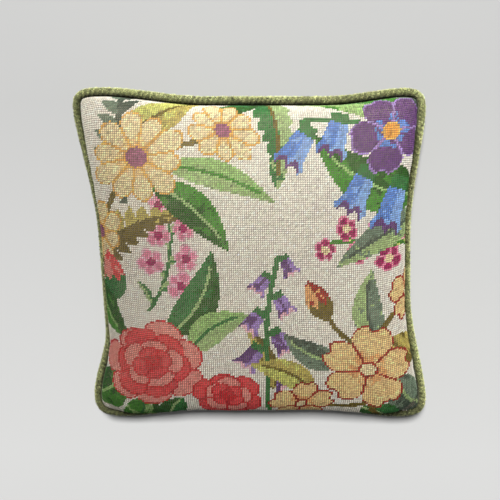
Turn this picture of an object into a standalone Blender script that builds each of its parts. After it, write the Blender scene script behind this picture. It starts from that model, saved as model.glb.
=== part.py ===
"""A square needlepoint cushion, crowned and drawn in at its sides, with corded piping round its seam.

Metres, +Z up. The cushion lies on its back: X runs to its right, Y to its top edge, and the worked face
looks up. The origin is the middle of its box, on the surface that it rests on.
"""

import math
from collections import namedtuple

import bmesh
import bpy
from mathutils import Vector

# The seam line, where the two panels are sewn together
SEAM_REACH = 0.1738  # centre to the seam at a corner, along X and along Y
CORNER_PULL = 0.0039  # how far a rounded corner stays inside the sharp one, along X and along Y
SEAM_LIFT = 0.0012  # the seam's plane to the edge of each panel
FLANGE_REACH = 0.00035  # how far the back's folded edge shows past the seam
FLANGE_THICK = 0.0007

# The filled form
FRONT_CROWN = 0.0530  # seam to the highest point of the face
BACK_CROWN = 0.0490  # seam to the lowest point of the back, before it is flattened
REST_FLAT = 0.0034  # how much of the back's crown the surface presses flat
FULLNESS = 0.78  # below 1 the crown is broader and its flanks are steeper
SAG = 0.0050  # how far the filling has settled towards the lower edge
BULGE_FADE = 1.1  # how soon the flanks' swelling dies out towards a corner

# The worked canvas
CANVAS_THICK = 0.0024
CANVAS_EDGE_THICK = 0.0012  # pressed flat along the seam
CLEARANCE = 0.0003  # between pieces that touch
EDGE_CLEARANCE = 0.0006  # the same along the seam, where the panels turn sharply

# The piping
CORD_RADIUS = 0.0039
CORD_STANDOFF = 0.0045  # seam line to the cord's middle

# How fine the surfaces are
CELLS = 28  # along each side of a panel
PRESSED_CELLS = 5  # from the seam to where the canvas has its full thickness
CORD_ROUNDNESS = 3

# Each side of the seam: how far its middle is drawn in, how far its flank is swollen outwards, and
# where the drawing-in starts to ease and has ended, as shares of the half side, before and after the middle
Side = namedtuple("Side", "drawn_in bulge low_eases low_ends high_eases high_ends")
SIDES = {
    "left": Side(0.0190, 0.0115, 0.45, 0.95, 0.15, 1.12),
    "right": Side(0.0185, 0.0110, 0.22, 1.05, 0.15, 1.14),
    "top": Side(0.0095, 0.0095, 0.25, 0.88, 0.45, 1.00),
    "bottom": Side(0.0110, 0.0130, 0.30, 0.85, 0.30, 0.88),
}

# Each corner: how far it lies off its place, and how flat and how long its ear is
Corner = namedtuple("Corner", "across up_face lift ear_flat ear_reach")
CORNERS = {
    (-1, 1): Corner(-0.0024, 0.0018, 0.0020, 0.20, 0.030),
    (1, 1): Corner(-0.0016, -0.0036, -0.0010, 0.25, 0.032),
    (1, -1): Corner(0.0014, 0.0002, 0.0025, 0.42, 0.042),
    (-1, -1): Corner(0.0018, -0.0006, 0.0000, 0.45, 0.040),
}

# Soft creases in the face: which side they start from, where along it, how deep, how wide and how long
Crease = namedtuple("Crease", "side along deep wide long")
CREASES = (
    Crease("left", -0.60, 0.0040, 0.016, 0.030),
    Crease("right", 0.56, 0.0025, 0.015, 0.024),
    Crease("right", -0.10, 0.0020, 0.018, 0.020),
    Crease("bottom", -0.52, 0.0030, 0.018, 0.026),
    Crease("bottom", 0.30, 0.0022, 0.020, 0.020),
)

SEAM_Z = BACK_CROWN + SEAM_LIFT - REST_FLAT


def smooth(share):
    """0 before 0, 1 after 1, and a soft step between them."""
    share = min(max(share, 0.0), 1.0)
    return share * share * (3 - 2 * share)


def across(turn):
    """How far a place reaches from the middle, -1 to 1, for an even turn from one seam to the other."""
    return math.copysign(abs(math.sin(turn * math.pi / 2)) ** FULLNESS, turn)


def lift(turn):
    """How much of the crown's height a place has, 0 at either seam and 1 in the middle."""
    return max(math.cos(turn * math.pi / 2), 0.0)


def drawn_in(side, along):
    """How far the seam of a side is drawn in at a place along it."""
    eases, ends = (
        (side.high_eases, side.high_ends) if along > 0 else (side.low_eases, side.low_ends)
    )
    return side.drawn_in * (1 - smooth((abs(along) - eases) / (ends - eases)))


def off_place(along_x, along_y, name):
    """The corners' own offsets, shared out over the panel."""
    return sum(
        (1 + corner_x * along_x) * (1 + corner_y * along_y) / 4 * getattr(corner, name)
        for (corner_x, corner_y), corner in CORNERS.items()
    )


def seam_plan(along_x, along_y):
    """Where a place of the panel lies in plan when the seam alone shapes it."""
    side_x = SIDES["right" if along_x > 0 else "left"]
    side_y = SIDES["top" if along_y > 0 else "bottom"]
    x = along_x * (SEAM_REACH - drawn_in(side_x, along_y))
    y = along_y * (SEAM_REACH - drawn_in(side_y, along_x))
    rounding = CORNER_PULL * abs(along_x * along_y) ** (SEAM_REACH / (2 * CORNER_PULL))
    x += off_place(along_x, along_y, "across") - math.copysign(rounding, along_x)
    y += off_place(along_x, along_y, "up_face") - math.copysign(rounding, along_y)
    return x, y


def bulge(side, lift_across, lift_along):
    """How far a flank is swollen outwards beside a place: most at half height, nothing at the seam."""
    swell = (4 * lift_across * (1 - lift_across)) ** 2
    return side.bulge * swell * lift_along**BULGE_FADE


def ear(along_x, along_y):
    """What the corners' flat ears leave of the height."""
    left = 1.0
    for (corner_x, corner_y), corner in CORNERS.items():
        away = math.hypot(corner_x - along_x, corner_y - along_y) * SEAM_REACH
        left *= 1 - corner.ear_flat * (1 - smooth(away / corner.ear_reach))
    return left


def crease_depth(along_x, along_y):
    """How deep the soft creases are at a place of the face."""
    deep = 0.0
    for crease in CREASES:
        inward, sideways = {
            "left": (1 + along_x, along_y),
            "right": (1 - along_x, along_y),
            "bottom": (1 + along_y, along_x),
        }[crease.side]
        off_line = (sideways - crease.along) * SEAM_REACH / crease.wide
        deep += crease.deep * math.exp(-off_line * off_line - inward * SEAM_REACH / crease.long)
    return deep


def form(turn_x, turn_y, crown):
    """A place of the filled form: its plan, and its height above the seam."""
    along_x, along_y = across(turn_x), across(turn_y)
    lift_x, lift_y = lift(turn_x), lift(turn_y)
    x, y = seam_plan(along_x, along_y)
    side_x = SIDES["right" if along_x > 0 else "left"]
    side_y = SIDES["top" if along_y > 0 else "bottom"]
    x += math.copysign(bulge(side_x, lift_x, lift_y), along_x)
    y += math.copysign(bulge(side_y, lift_y, lift_x), along_y) - SAG * lift_x * lift_y
    return x, y, crown * lift_x * lift_y * ear(along_x, along_y)


def seam_height(turn_x, turn_y):
    """How high the seam's plane is at a place, with the corners' own lift."""
    return SEAM_Z + off_place(across(turn_x), across(turn_y), "lift")


def face_place(turn_x, turn_y):
    """A place of the needlepoint's outer surface."""
    x, y, height = form(turn_x, turn_y, FRONT_CROWN)
    deep = crease_depth(across(turn_x), across(turn_y)) * min(lift(turn_x), lift(turn_y))
    return Vector((x, y, seam_height(turn_x, turn_y) + SEAM_LIFT + height - deep))


def back_place(turn_x, turn_y):
    """A place of the velvet back, flat where the cushion rests."""
    x, y, height = form(turn_x, turn_y, BACK_CROWN)
    return Vector((x, y, max(seam_height(turn_x, turn_y) - SEAM_LIFT - height, 0.0)))


def cell_of(turns):
    """The column and row of a place of the grid, from its turns."""
    return tuple(round((turn + 1) / 2 * CELLS) for turn in turns)


def turns_of(cell):
    """The turns of a column and row of the grid."""
    return tuple(2 * index / CELLS - 1 for index in cell)


def laid_grid(bm, place):
    """Adds a grid to the mesh, moves its vertices to their places and returns them by column and row."""
    made = bmesh.ops.create_grid(bm, x_segments=CELLS, y_segments=CELLS, size=1)["verts"]
    vertices = {cell_of(vertex.co.xy): vertex for vertex in made}
    for cell, vertex in vertices.items():
        vertex.co = place(*turns_of(cell))
    return vertices


def rim_cells():
    """The grid's edge, cell by cell, anticlockwise from the lower left corner."""
    run = range(CELLS)
    return (
        [(i, 0) for i in run]
        + [(CELLS, i) for i in run]
        + [(CELLS - i, CELLS) for i in run]
        + [(0, CELLS - i) for i in run]
    )


def seam_frames():
    """Round the seam: each place of its line, and the direction straight out from it, in plan."""
    places = []
    for cell in rim_cells():
        turns = turns_of(cell)
        places.append(Vector((*seam_plan(*map(across, turns)), seam_height(*turns))))
    frames = []
    for index, place in enumerate(places):
        ahead = places[(index + 1) % len(places)] - places[index - 1]
        frames.append((place, Vector((ahead.y, -ahead.x, 0)).normalized()))
    return frames


def full_share(cell):
    """0 at the seam, rising to 1 a few cells in, where the canvas has its full thickness."""
    return min(min(cell), CELLS - max(cell), PRESSED_CELLS) / PRESSED_CELLS


def eased(cell, at_seam, inside):
    """A size that has one value at the seam and another inside."""
    return at_seam + full_share(cell) * (inside - at_seam)


def material(name, colour, roughness):
    made = bpy.data.materials.new(name)
    made.use_nodes = True
    shader = made.node_tree.nodes["Principled BSDF"]
    shader.inputs["Base Color"].default_value = (*colour, 1)
    shader.inputs["Roughness"].default_value = roughness
    shader.inputs["Metallic"].default_value = 0
    return made


def add_object(name, data, collection, finish):
    made = bpy.data.objects.new(name, data)
    made.data.materials.append(finish)
    collection.objects.link(made)
    return made


def canvas_face():
    """The needlepoint's outer surface, as a mesh and its vertices by column and row."""
    bm = bmesh.new()
    vertices = laid_grid(bm, face_place)
    bm.normal_update()
    return bm, vertices


def needlepoint_front(collection):
    """The worked canvas, a crowned sheet from seam to seam, thinner where it is pressed at the seam."""
    bm, vertices = canvas_face()
    bm.verts.index_update()
    shares = {vertex.index: full_share(cell) for cell, vertex in vertices.items()}
    mesh = bpy.data.meshes.new("needlepoint_front")
    bm.to_mesh(mesh)
    bm.free()
    mesh.shade_smooth()
    wool = material("wool_needlepoint", (0.80, 0.75, 0.65), 0.9)
    front = add_object("needlepoint_front", mesh, collection, wool)
    full = front.vertex_groups.new(name="full_thickness")
    for index, share in shares.items():
        full.add([index], share, "REPLACE")
    solidify = front.modifiers.new("thickness", "SOLIDIFY")
    solidify.thickness = CANVAS_THICK
    solidify.offset = -1
    solidify.vertex_group = full.name
    solidify.thickness_vertex_group = CANVAS_EDGE_THICK / CANVAS_THICK


def under_canvas():
    """Each place of the filling's upper side: just under the canvas, by column and row."""
    bm, vertices = canvas_face()
    places = {}
    for cell, vertex in vertices.items():
        thick = eased(cell, CANVAS_EDGE_THICK, CANVAS_THICK)
        clear = eased(cell, EDGE_CLEARANCE, CLEARANCE)
        places[cell] = vertex.co - vertex.normal * (thick + clear)
    bm.free()
    return places


def cushion_body(collection):
    """The filled form under the canvas, with the velvet back, as one closed solid."""
    upper_side = under_canvas()
    bm = bmesh.new()
    top = laid_grid(bm, lambda *turns: upper_side[cell_of(turns)])
    back = laid_grid(bm, back_place)
    bmesh.ops.reverse_faces(bm, faces=list({face for v in back.values() for face in v.link_faces}))
    cells = rim_cells()
    fold = Vector((0, 0, FLANGE_THICK - SEAM_LIFT))
    step, flange = [], []
    for cell, (place, outward) in zip(cells, seam_frames()):
        step.append(bm.verts.new((*top[cell].co.xy, (place + fold).z)))
        flange.append(bm.verts.new(place + fold + outward * FLANGE_REACH))
    rings = [top[cell] for cell in cells], step, flange, [back[cell] for cell in cells]
    for upper, lower in zip(rings, rings[1:]):
        for index in range(len(cells)):
            after = (index + 1) % len(cells)
            bm.faces.new((upper[index], lower[index], lower[after], upper[after]))
    mesh = bpy.data.meshes.new("cushion_body")
    bm.to_mesh(mesh)
    bm.free()
    mesh.shade_smooth()
    mesh.set_sharp_from_angle(angle=math.radians(50))
    velvet = material("olive_velvet_back", (0.21, 0.22, 0.09), 0.85)
    add_object("cushion_body", mesh, collection, velvet)


def piping(collection):
    """The covered cord, closed on itself round the seam."""
    curve = bpy.data.curves.new("piping", "CURVE")
    curve.dimensions = "3D"
    curve.bevel_depth = CORD_RADIUS
    curve.bevel_resolution = CORD_ROUNDNESS
    frames = seam_frames()
    spline = curve.splines.new("POLY")
    spline.points.add(len(frames) - 1)
    for point, (place, outward) in zip(spline.points, frames):
        point.co = (*(place + outward * CORD_STANDOFF), 1)
    spline.use_cyclic_u = True
    velvet = material("olive_velvet_piping", (0.17, 0.18, 0.07), 0.85)
    add_object("piping", curve, collection, velvet)


def main():
    for old in list(bpy.data.objects):
        bpy.data.objects.remove(old, do_unlink=True)
    collection = bpy.data.collections.new("needlepoint_cushion")
    bpy.context.scene.collection.children.link(collection)
    needlepoint_front(collection)
    cushion_body(collection)
    piping(collection)


main()
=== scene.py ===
"""The looks of a square needlepoint cushion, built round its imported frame.

Metres, +Z up. The cushion lies on its back with its worked face up: +X is to its right and +Y towards
the flowers' upper edge. The face is worked in tent stitch, one small mesh a stitch, on a canvas that
follows the filled form; the back is plain velvet, and a velvet-covered cord is sewn into the seam.
"""

import logging
import math
from collections.abc import Callable
from dataclasses import dataclass, field
from enum import Enum

import bpy
import numpy as np
from bpy.types import ID, Material, Mesh, Node, NodeSocket, NodeTree, Object
from mathutils import Matrix, Vector


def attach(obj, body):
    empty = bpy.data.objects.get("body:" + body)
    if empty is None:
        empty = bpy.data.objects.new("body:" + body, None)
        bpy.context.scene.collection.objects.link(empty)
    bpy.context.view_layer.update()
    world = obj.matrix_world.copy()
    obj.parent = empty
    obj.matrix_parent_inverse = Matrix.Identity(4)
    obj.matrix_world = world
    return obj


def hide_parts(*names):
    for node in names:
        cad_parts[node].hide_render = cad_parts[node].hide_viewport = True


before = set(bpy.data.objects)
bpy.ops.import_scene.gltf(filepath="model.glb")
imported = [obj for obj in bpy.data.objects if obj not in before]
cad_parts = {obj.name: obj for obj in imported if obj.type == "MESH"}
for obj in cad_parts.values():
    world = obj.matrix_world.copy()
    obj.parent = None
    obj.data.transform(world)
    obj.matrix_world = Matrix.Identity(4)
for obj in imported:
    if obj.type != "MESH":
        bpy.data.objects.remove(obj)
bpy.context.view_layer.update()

LOG = logging.getLogger("needlepoint_cushion")
BODY = "root"
MM = 0.001
UP = np.array((0.0, 0.0, 1.0))
Array = np.ndarray
Point = tuple[float, float]
Colour = tuple[float, float, float, float]
Placing = Callable[[Array, Array], Array]


class Edge(Enum):
    """The four sides of the cushion, seen from the front."""

    LEFT = "left"
    RIGHT = "right"
    TOP = "top"
    BOTTOM = "bottom"


@dataclass(frozen=True)
class Side:
    """How the seam is drawn in along one side, and how far its flank is swollen outwards."""

    drawn_in: float
    bulge: float
    low_eases: float
    low_ends: float
    high_eases: float
    high_ends: float


@dataclass(frozen=True)
class Corner:
    """How far a corner lies off its place, and how flat and how long its ear is."""

    across: float
    up_face: float
    lift: float
    ear_flat: float
    ear_reach: float


@dataclass(frozen=True)
class Crease:
    """A soft crease that starts at one side: where along it, how deep, how wide and how long."""

    side: Edge
    along: float
    deep: float
    wide: float
    long: float


SIDES = {
    Edge.LEFT: Side(0.0190, 0.0115, 0.45, 0.95, 0.15, 1.12),
    Edge.RIGHT: Side(0.0185, 0.0110, 0.22, 1.05, 0.15, 1.14),
    Edge.TOP: Side(0.0095, 0.0095, 0.25, 0.88, 0.45, 1.00),
    Edge.BOTTOM: Side(0.0110, 0.0130, 0.30, 0.85, 0.30, 0.88),
}

CORNERS = {
    (-1, 1): Corner(-0.0024, 0.0018, 0.0020, 0.20, 0.030),
    (1, 1): Corner(-0.0016, -0.0036, -0.0010, 0.25, 0.032),
    (1, -1): Corner(0.0014, 0.0002, 0.0025, 0.42, 0.042),
    (-1, -1): Corner(0.0018, -0.0006, 0.0000, 0.45, 0.040),
}

CREASES = (
    Crease(Edge.LEFT, -0.60, 0.0040, 0.016, 0.030),
    Crease(Edge.RIGHT, 0.56, 0.0025, 0.015, 0.024),
    Crease(Edge.RIGHT, -0.10, 0.0020, 0.018, 0.020),
    Crease(Edge.BOTTOM, -0.52, 0.0030, 0.018, 0.026),
    Crease(Edge.BOTTOM, 0.30, 0.0022, 0.020, 0.020),
)


@dataclass(frozen=True)
class Fold:
    """The trough of a fold that runs straight across a corner, between the filling and the flat ear."""

    corner: Point
    away: float
    deep: float
    wide: float


FOLDS = (
    Fold((1, -1), 0.0175, 0.0042, 0.0045),
    Fold((-1, -1), 0.0190, 0.0018, 0.0050),
    Fold((1, 1), 0.0160, 0.0010, 0.0050),
)


def smooth(share: Array) -> Array:
    """A soft step, 0 before 0 and 1 after 1."""
    share = np.clip(share, 0.0, 1.0)
    return share * share * (3 - 2 * share)


def unit(vectors: Array) -> Array:
    """The same vectors at length 1."""
    return vectors / np.maximum(np.linalg.norm(vectors, axis=-1, keepdims=True), 1e-12)


def level_out(ahead: Array) -> Array:
    """The level directions straight out of an anticlockwise line, for its directions ahead."""
    return unit(np.stack((ahead[..., 1], -ahead[..., 0], np.zeros(ahead.shape[:-1])), axis=-1))


def closed_runs(line: Array) -> tuple[Array, Array]:
    """A closed line with its first point again at its end, and how far round it each point is.

    Args:
        line: the points, each once.

    Returns:
        The closed points, and the metres to each.
    """
    closed = np.vstack((line, line[:1]))
    steps = np.linalg.norm(np.diff(closed, axis=0), axis=1)
    return closed, np.concatenate(((0.0,), np.cumsum(steps)))


def read_line(at: Array, runs: Array, values: Array) -> Array:
    """Reads a line's values, three to a point, between its points."""
    return np.stack([np.interp(at, runs, values[:, part]) for part in range(3)], axis=-1)


@dataclass
class Surface:
    """A cloth's places and normals on an even grid over its flat panel, read between the points.

    The first index runs across the panel and the second up it.
    """

    places: Array

    def __post_init__(self) -> None:
        """Works the normals out from the places."""
        run_across = np.gradient(self.places, axis=0)
        run_up = np.gradient(self.places, axis=1)
        self.normals = unit(np.cross(run_across, run_up))

    def at(self, across: Array, up: Array, height: Array) -> Array:
        """Places at a height over the surface.

        Args:
            across: share of the panel's width, 0 to 1.
            up: share of the panel's length, 0 to 1.
            height: metres out from the surface, along its normal.

        Returns:
            The places, with the coordinates in the last axis.
        """
        cells = self.places.shape[0] - 1
        x = np.clip(across * cells, 0, cells - 1e-6)
        y = np.clip(up * cells, 0, cells - 1e-6)
        column, row = x.astype(int), y.astype(int)
        share_x, share_y = (x - column)[..., None], (y - row)[..., None]

        def read(grid: Array) -> Array:
            """Reads a grid between its four nearest points."""
            low = grid[column, row] * (1 - share_x) + grid[column + 1, row] * share_x
            high = grid[column, row + 1] * (1 - share_x) + grid[column + 1, row + 1] * share_x
            return low * (1 - share_y) + high * share_y

        return read(self.places) + unit(read(self.normals)) * height[..., None]


@dataclass
class CushionForm:
    """The filled form: two crowned panels, drawn in between their corners and sewn along a seam."""

    seam_reach: float = 0.1738
    corner_pull: float = 0.0039
    seam_lift: float = 0.0012
    front_crown: float = 0.0530
    back_crown: float = 0.0490
    rest_flat: float = 0.0034
    fullness: float = 0.78
    sag: float = 0.0050
    bulge_fade: float = 1.1
    fold_fade: float = 0.35
    fine_cells: int = 336
    even_rounds: int = 6
    pucker_every: float = 0.0135
    pucker_deep: float = 0.0011
    pucker_wide: float = 0.0042
    pucker_long: float = 0.0130
    pucker_deep_shares: tuple = (0.1, 1.0)
    pucker_wide_shares: tuple = (0.7, 1.4)
    pucker_long_shares: tuple = (0.5, 1.5)
    pucker_fade: float = 6.0
    wave_deep: float = 0.0005
    wave_count: int = 7
    wave_turns: tuple = (2.5, 6.0)
    wave_fade: float = 2.0
    seed: int = 7

    @property
    def seam_z(self) -> float:
        """How high the seam's plane lies over the floor."""
        return self.back_crown + self.seam_lift - self.rest_flat

    def across(self, turn: Array) -> Array:
        """How far a place reaches from the middle, -1 to 1, for an even turn from seam to seam."""
        return np.sign(turn) * np.abs(np.sin(turn * np.pi / 2)) ** self.fullness

    def lift(self, turn: Array) -> Array:
        """How much of the crown's height a place has."""
        return np.maximum(np.cos(turn * np.pi / 2), 0.0)

    def drawn_in(self, side: Side, along: Array) -> Array:
        """How far the seam of a side is drawn in at places along it.

        Args:
            side: the side of the cushion.
            along: how far along it, -1 to 1.

        Returns:
            Metres inwards.
        """
        eases = np.where(along > 0, side.high_eases, side.low_eases)
        ends = np.where(along > 0, side.high_ends, side.low_ends)
        return side.drawn_in * (1 - smooth((np.abs(along) - eases) / (ends - eases)))

    def off_place(self, along_x: Array, along_y: Array, name: str) -> Array:
        """The corners' own offsets, shared out over the panel.

        Args:
            along_x: how far across the panel, -1 to 1.
            along_y: how far up it, -1 to 1.
            name: which of a corner's offsets.

        Returns:
            Metres.
        """
        return sum(
            (1 + corner_x * along_x) * (1 + corner_y * along_y) / 4 * getattr(corner, name)
            for (corner_x, corner_y), corner in CORNERS.items()
        )

    def of_sides(self, along: Array, low: Edge, high: Edge, value: Callable[[Side], Array]) -> Array:
        """A value that one side gives before the middle and the opposite one after it."""
        return np.where(along > 0, value(SIDES[high]), value(SIDES[low]))

    def seam_plan(self, along_x: Array, along_y: Array) -> tuple[Array, Array]:
        """Where places of the panel lie in plan when the seam alone shapes it.

        Args:
            along_x: how far across the panel, -1 to 1.
            along_y: how far up it, -1 to 1.

        Returns:
            The places' x and y, in metres.
        """
        in_x = self.of_sides(along_x, Edge.LEFT, Edge.RIGHT, lambda s: self.drawn_in(s, along_y))
        in_y = self.of_sides(along_y, Edge.BOTTOM, Edge.TOP, lambda s: self.drawn_in(s, along_x))
        power = self.seam_reach / (2 * self.corner_pull)
        rounding = self.corner_pull * np.abs(along_x * along_y) ** power
        x = along_x * (self.seam_reach - in_x) - np.sign(along_x) * rounding
        y = along_y * (self.seam_reach - in_y) - np.sign(along_y) * rounding
        x = x + self.off_place(along_x, along_y, "across")
        y = y + self.off_place(along_x, along_y, "up_face")
        return x, y

    def bulge(self, side: Side, lift_across: Array, lift_along: Array) -> Array:
        """How far a flank is swollen outwards: most at half height, nothing at the seam."""
        swell = (4 * lift_across * (1 - lift_across)) ** 2
        return side.bulge * swell * lift_along**self.bulge_fade

    def ear(self, along_x: Array, along_y: Array) -> Array:
        """What the corners' flat ears leave of the height.

        Args:
            along_x: how far across the panel, -1 to 1.
            along_y: how far up it, -1 to 1.

        Returns:
            The share of the height that is left, 0 to 1.
        """
        left = np.ones_like(along_x)
        for (corner_x, corner_y), corner in CORNERS.items():
            away = np.hypot(corner_x - along_x, corner_y - along_y) * self.seam_reach
            left = left * (1 - corner.ear_flat * (1 - smooth(away / corner.ear_reach)))
        return left

    def inward(self, edge: Edge, along_x: Array, along_y: Array) -> tuple[Array, Array]:
        """How far places lie in from a side, and where they lie along it, in half widths.

        Args:
            edge: the side.
            along_x: how far across the panel, -1 to 1.
            along_y: how far up it, -1 to 1.

        Returns:
            The way in from the side, and the place along it.
        """
        return {
            Edge.LEFT: (1 + along_x, along_y),
            Edge.RIGHT: (1 - along_x, along_y),
            Edge.BOTTOM: (1 + along_y, along_x),
            Edge.TOP: (1 - along_y, along_x),
        }[edge]

    def crease_depth(self, along_x: Array, along_y: Array) -> Array:
        """How deep the soft creases are.

        Args:
            along_x: how far across the panel, -1 to 1.
            along_y: how far up it, -1 to 1.

        Returns:
            Metres inwards.
        """
        deep = np.zeros_like(along_x)
        for crease in CREASES:
            inward, sideways = self.inward(crease.side, along_x, along_y)
            off_line = (sideways - crease.along) * self.seam_reach / crease.wide
            deep = deep + crease.deep * np.exp(-off_line**2 - inward * self.seam_reach / crease.long)
        return deep

    def fold_depth(self, along_x: Array, along_y: Array) -> Array:
        """How deep the folds across the corners are.

        Args:
            along_x: how far across the panel, -1 to 1.
            along_y: how far up it, -1 to 1.

        Returns:
            Metres inwards.
        """
        deep = np.zeros_like(along_x)
        for fold in FOLDS:
            corner_x, corner_y = fold.corner
            inward = (2 - corner_x * along_x - corner_y * along_y) * self.seam_reach / math.sqrt(2)
            deep = deep + fold.deep * np.exp(-(((inward - fold.away) / fold.wide) ** 2))
        return deep

    def form(self, turn_x: Array, turn_y: Array, crown: float) -> tuple[Array, Array, Array]:
        """Places of the filled form: their plan, and their height over the seam.

        Args:
            turn_x: even turns across the panel, -1 to 1.
            turn_y: even turns up it.
            crown: the panel's height over its seam.

        Returns:
            x, y and the height over the seam, in metres.
        """
        along_x, along_y = self.across(turn_x), self.across(turn_y)
        lift_x, lift_y = self.lift(turn_x), self.lift(turn_y)
        x, y = self.seam_plan(along_x, along_y)
        out_x = self.of_sides(along_x, Edge.LEFT, Edge.RIGHT, lambda s: self.bulge(s, lift_x, lift_y))
        out_y = self.of_sides(along_y, Edge.BOTTOM, Edge.TOP, lambda s: self.bulge(s, lift_y, lift_x))
        x = x + np.sign(along_x) * out_x
        y = y + np.sign(along_y) * out_y - self.sag * lift_x * lift_y
        return x, y, crown * lift_x * lift_y * self.ear(along_x, along_y)

    def seam_height(self, turn_x: Array, turn_y: Array) -> Array:
        """How high the seam's plane is, with the corners' own lift."""
        return self.seam_z + self.off_place(self.across(turn_x), self.across(turn_y), "lift")

    def face(self, turn_x: Array, turn_y: Array) -> Array:
        """Places of the needlepoint's outer surface.

        Args:
            turn_x: even turns across the panel, -1 to 1.
            turn_y: even turns up it.

        Returns:
            The places.
        """
        x, y, height = self.form(turn_x, turn_y, self.front_crown)
        along_x, along_y = self.across(turn_x), self.across(turn_y)
        lift = np.minimum(self.lift(turn_x), self.lift(turn_y))
        deep = self.crease_depth(along_x, along_y) * lift
        deep = deep + self.fold_depth(along_x, along_y) * smooth(lift / self.fold_fade)
        z = self.seam_height(turn_x, turn_y) + self.seam_lift + height - deep
        return np.stack((x, y, z), axis=-1)

    def back(self, turn_x: Array, turn_y: Array) -> Array:
        """Places of the velvet back, flat where the cushion rests.

        Args:
            turn_x: even turns across the panel, -1 to 1.
            turn_y: even turns up it.

        Returns:
            The places.
        """
        x, y, height = self.form(turn_x, turn_y, self.back_crown)
        z = np.maximum(self.seam_height(turn_x, turn_y) - self.seam_lift - height, 0.0)
        return np.stack((x, y, z), axis=-1)

    def evened(self, place: Placing) -> tuple[Array, Array]:
        """Turns that lay a flat cloth evenly over one of the panels.

        Args:
            place: gives a panel's places for turns across and up it.

        Returns:
            The turns across and up, at each point of the fine grid.
        """
        even = np.linspace(0, 1, self.fine_cells + 1)
        turn_x, turn_y = np.meshgrid(2 * even - 1, 2 * even - 1, indexing="ij")
        for _ in range(self.even_rounds):
            for _ in range(2):
                steps = np.linalg.norm(np.diff(place(turn_x, turn_y), axis=0), axis=-1)
                runs = np.vstack((np.zeros(steps.shape[1]), np.cumsum(steps, axis=0)))
                runs = runs / runs[-1]
                for line in range(runs.shape[1]):
                    turn_x[:, line] = np.interp(even, runs[:, line], turn_x[:, line])
                    turn_y[:, line] = np.interp(even, runs[:, line], turn_y[:, line])
                turn_x, turn_y = turn_x.T.copy(), turn_y.T.copy()
        return turn_x, turn_y

    def puckers(self, turn_x: Array, turn_y: Array, seed: int) -> Array:
        """How deep the small puckers beside the seam are, with a faint unevenness all over.

        Args:
            turn_x: even turns across the panel, -1 to 1.
            turn_y: even turns up it.
            seed: picks the panel's own puckers.

        Returns:
            Metres inwards.
        """
        rng = np.random.default_rng(self.seed + seed)
        along_x, along_y = self.across(turn_x), self.across(turn_y)
        count = round(2 * self.seam_reach / self.pucker_every)
        deep = np.zeros_like(along_x)
        for edge in Edge:
            inward, sideways = self.inward(edge, along_x, along_y)
            inward, sideways = inward * self.seam_reach, sideways * self.seam_reach
            starts = np.linspace(-self.seam_reach, self.seam_reach, count)[1:-1]
            for start in starts + rng.normal(0, self.pucker_every / 3, count - 2):
                wide = self.pucker_wide * rng.uniform(*self.pucker_wide_shares)
                long = self.pucker_long * rng.uniform(*self.pucker_long_shares)
                own = self.pucker_deep * rng.uniform(*self.pucker_deep_shares) ** 1.5
                fan = 1 + inward / long
                deep = deep + own * np.exp(-(((sideways - start) / (wide * fan)) ** 2) - inward / long)
        waves = np.zeros_like(along_x)
        for _ in range(self.wave_count):
            heading, start = rng.uniform(0, 2 * math.pi, 2)
            turns = rng.uniform(*self.wave_turns)
            run = along_x * math.cos(heading) + along_y * math.sin(heading)
            waves = waves + np.sin(turns * run + start) / self.wave_count
        lift = np.minimum(self.lift(turn_x), self.lift(turn_y))
        waves = self.wave_deep * waves * smooth(lift * self.wave_fade)
        return deep * smooth(lift * self.pucker_fade) + waves

    def cloth(self, place: Placing, seed: int, outward: int) -> Surface:
        """One of the panels as an even cloth with its puckers.

        Args:
            place: gives the panel's places for turns.
            seed: picks this panel's own puckers.
            outward: 1 where the grid's normals point out of the cushion, -1 where they point in.

        Returns:
            The surface, at the fine grid's points.
        """
        turn_x, turn_y = self.evened(place)
        plain = Surface(place(turn_x, turn_y))
        deep = self.puckers(turn_x, turn_y, seed)[..., None]
        return Surface(plain.places - outward * plain.normals * deep)

    def seam_line(self, points: int) -> tuple[Array, Array]:
        """The seam, anticlockwise from the lower left corner, at even steps.

        Args:
            points: how many places to give.

        Returns:
            The places, and at each the direction straight out from the seam, in plan.
        """
        run = np.linspace(-1, 1, points + 1)[:-1]
        one = np.ones_like(run)
        turn_x = np.concatenate((run, one, -run, -one))
        turn_y = np.concatenate((-one, run, one, -run))
        x, y = self.seam_plan(self.across(turn_x), self.across(turn_y))
        line = np.stack((x, y, self.seam_height(turn_x, turn_y)), axis=-1)
        closed, runs = closed_runs(line)
        even = np.linspace(0, runs[-1], points + 1)[:-1]
        line = read_line(even, runs, closed)
        return line, level_out(np.roll(line, -2, axis=0) - np.roll(line, 2, axis=0))


class Wool(Enum):
    """The wools, as they look in plain daylight: red, green and blue, 0 to 255."""

    CREAM = (250, 243, 228)
    CORAL = (250, 98, 96)
    DEEP_CORAL = (222, 60, 64)
    SALMON = (255, 170, 156)
    APRICOT = (255, 220, 160)
    PEACH = (250, 192, 130)
    RUST = (182, 60, 46)
    BUTTER = (252, 232, 186)
    GOLD = (244, 192, 104)
    MAUVE = (178, 114, 138)
    MAGENTA = (184, 36, 108)
    ROSE = (248, 156, 180)
    BLUSH = (254, 202, 210)
    PURPLE = (124, 82, 138)
    LILAC = (180, 150, 208)
    BLUE = (114, 156, 222)
    SKY = (156, 192, 240)
    ORANGE = (248, 178, 80)
    DARK_GREEN = (54, 110, 28)
    GRASS = (90, 158, 54)
    FOREST = (68, 138, 70)
    OLIVE = (136, 118, 44)
    KHAKI = (208, 192, 106)
    SAGE = (136, 154, 130)
    DARK_SAGE = (96, 110, 92)
    LEAF_LIGHT = (176, 208, 134)
    SOFT_GREEN = (184, 206, 144)
    CHARTREUSE = (222, 222, 128)


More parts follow.
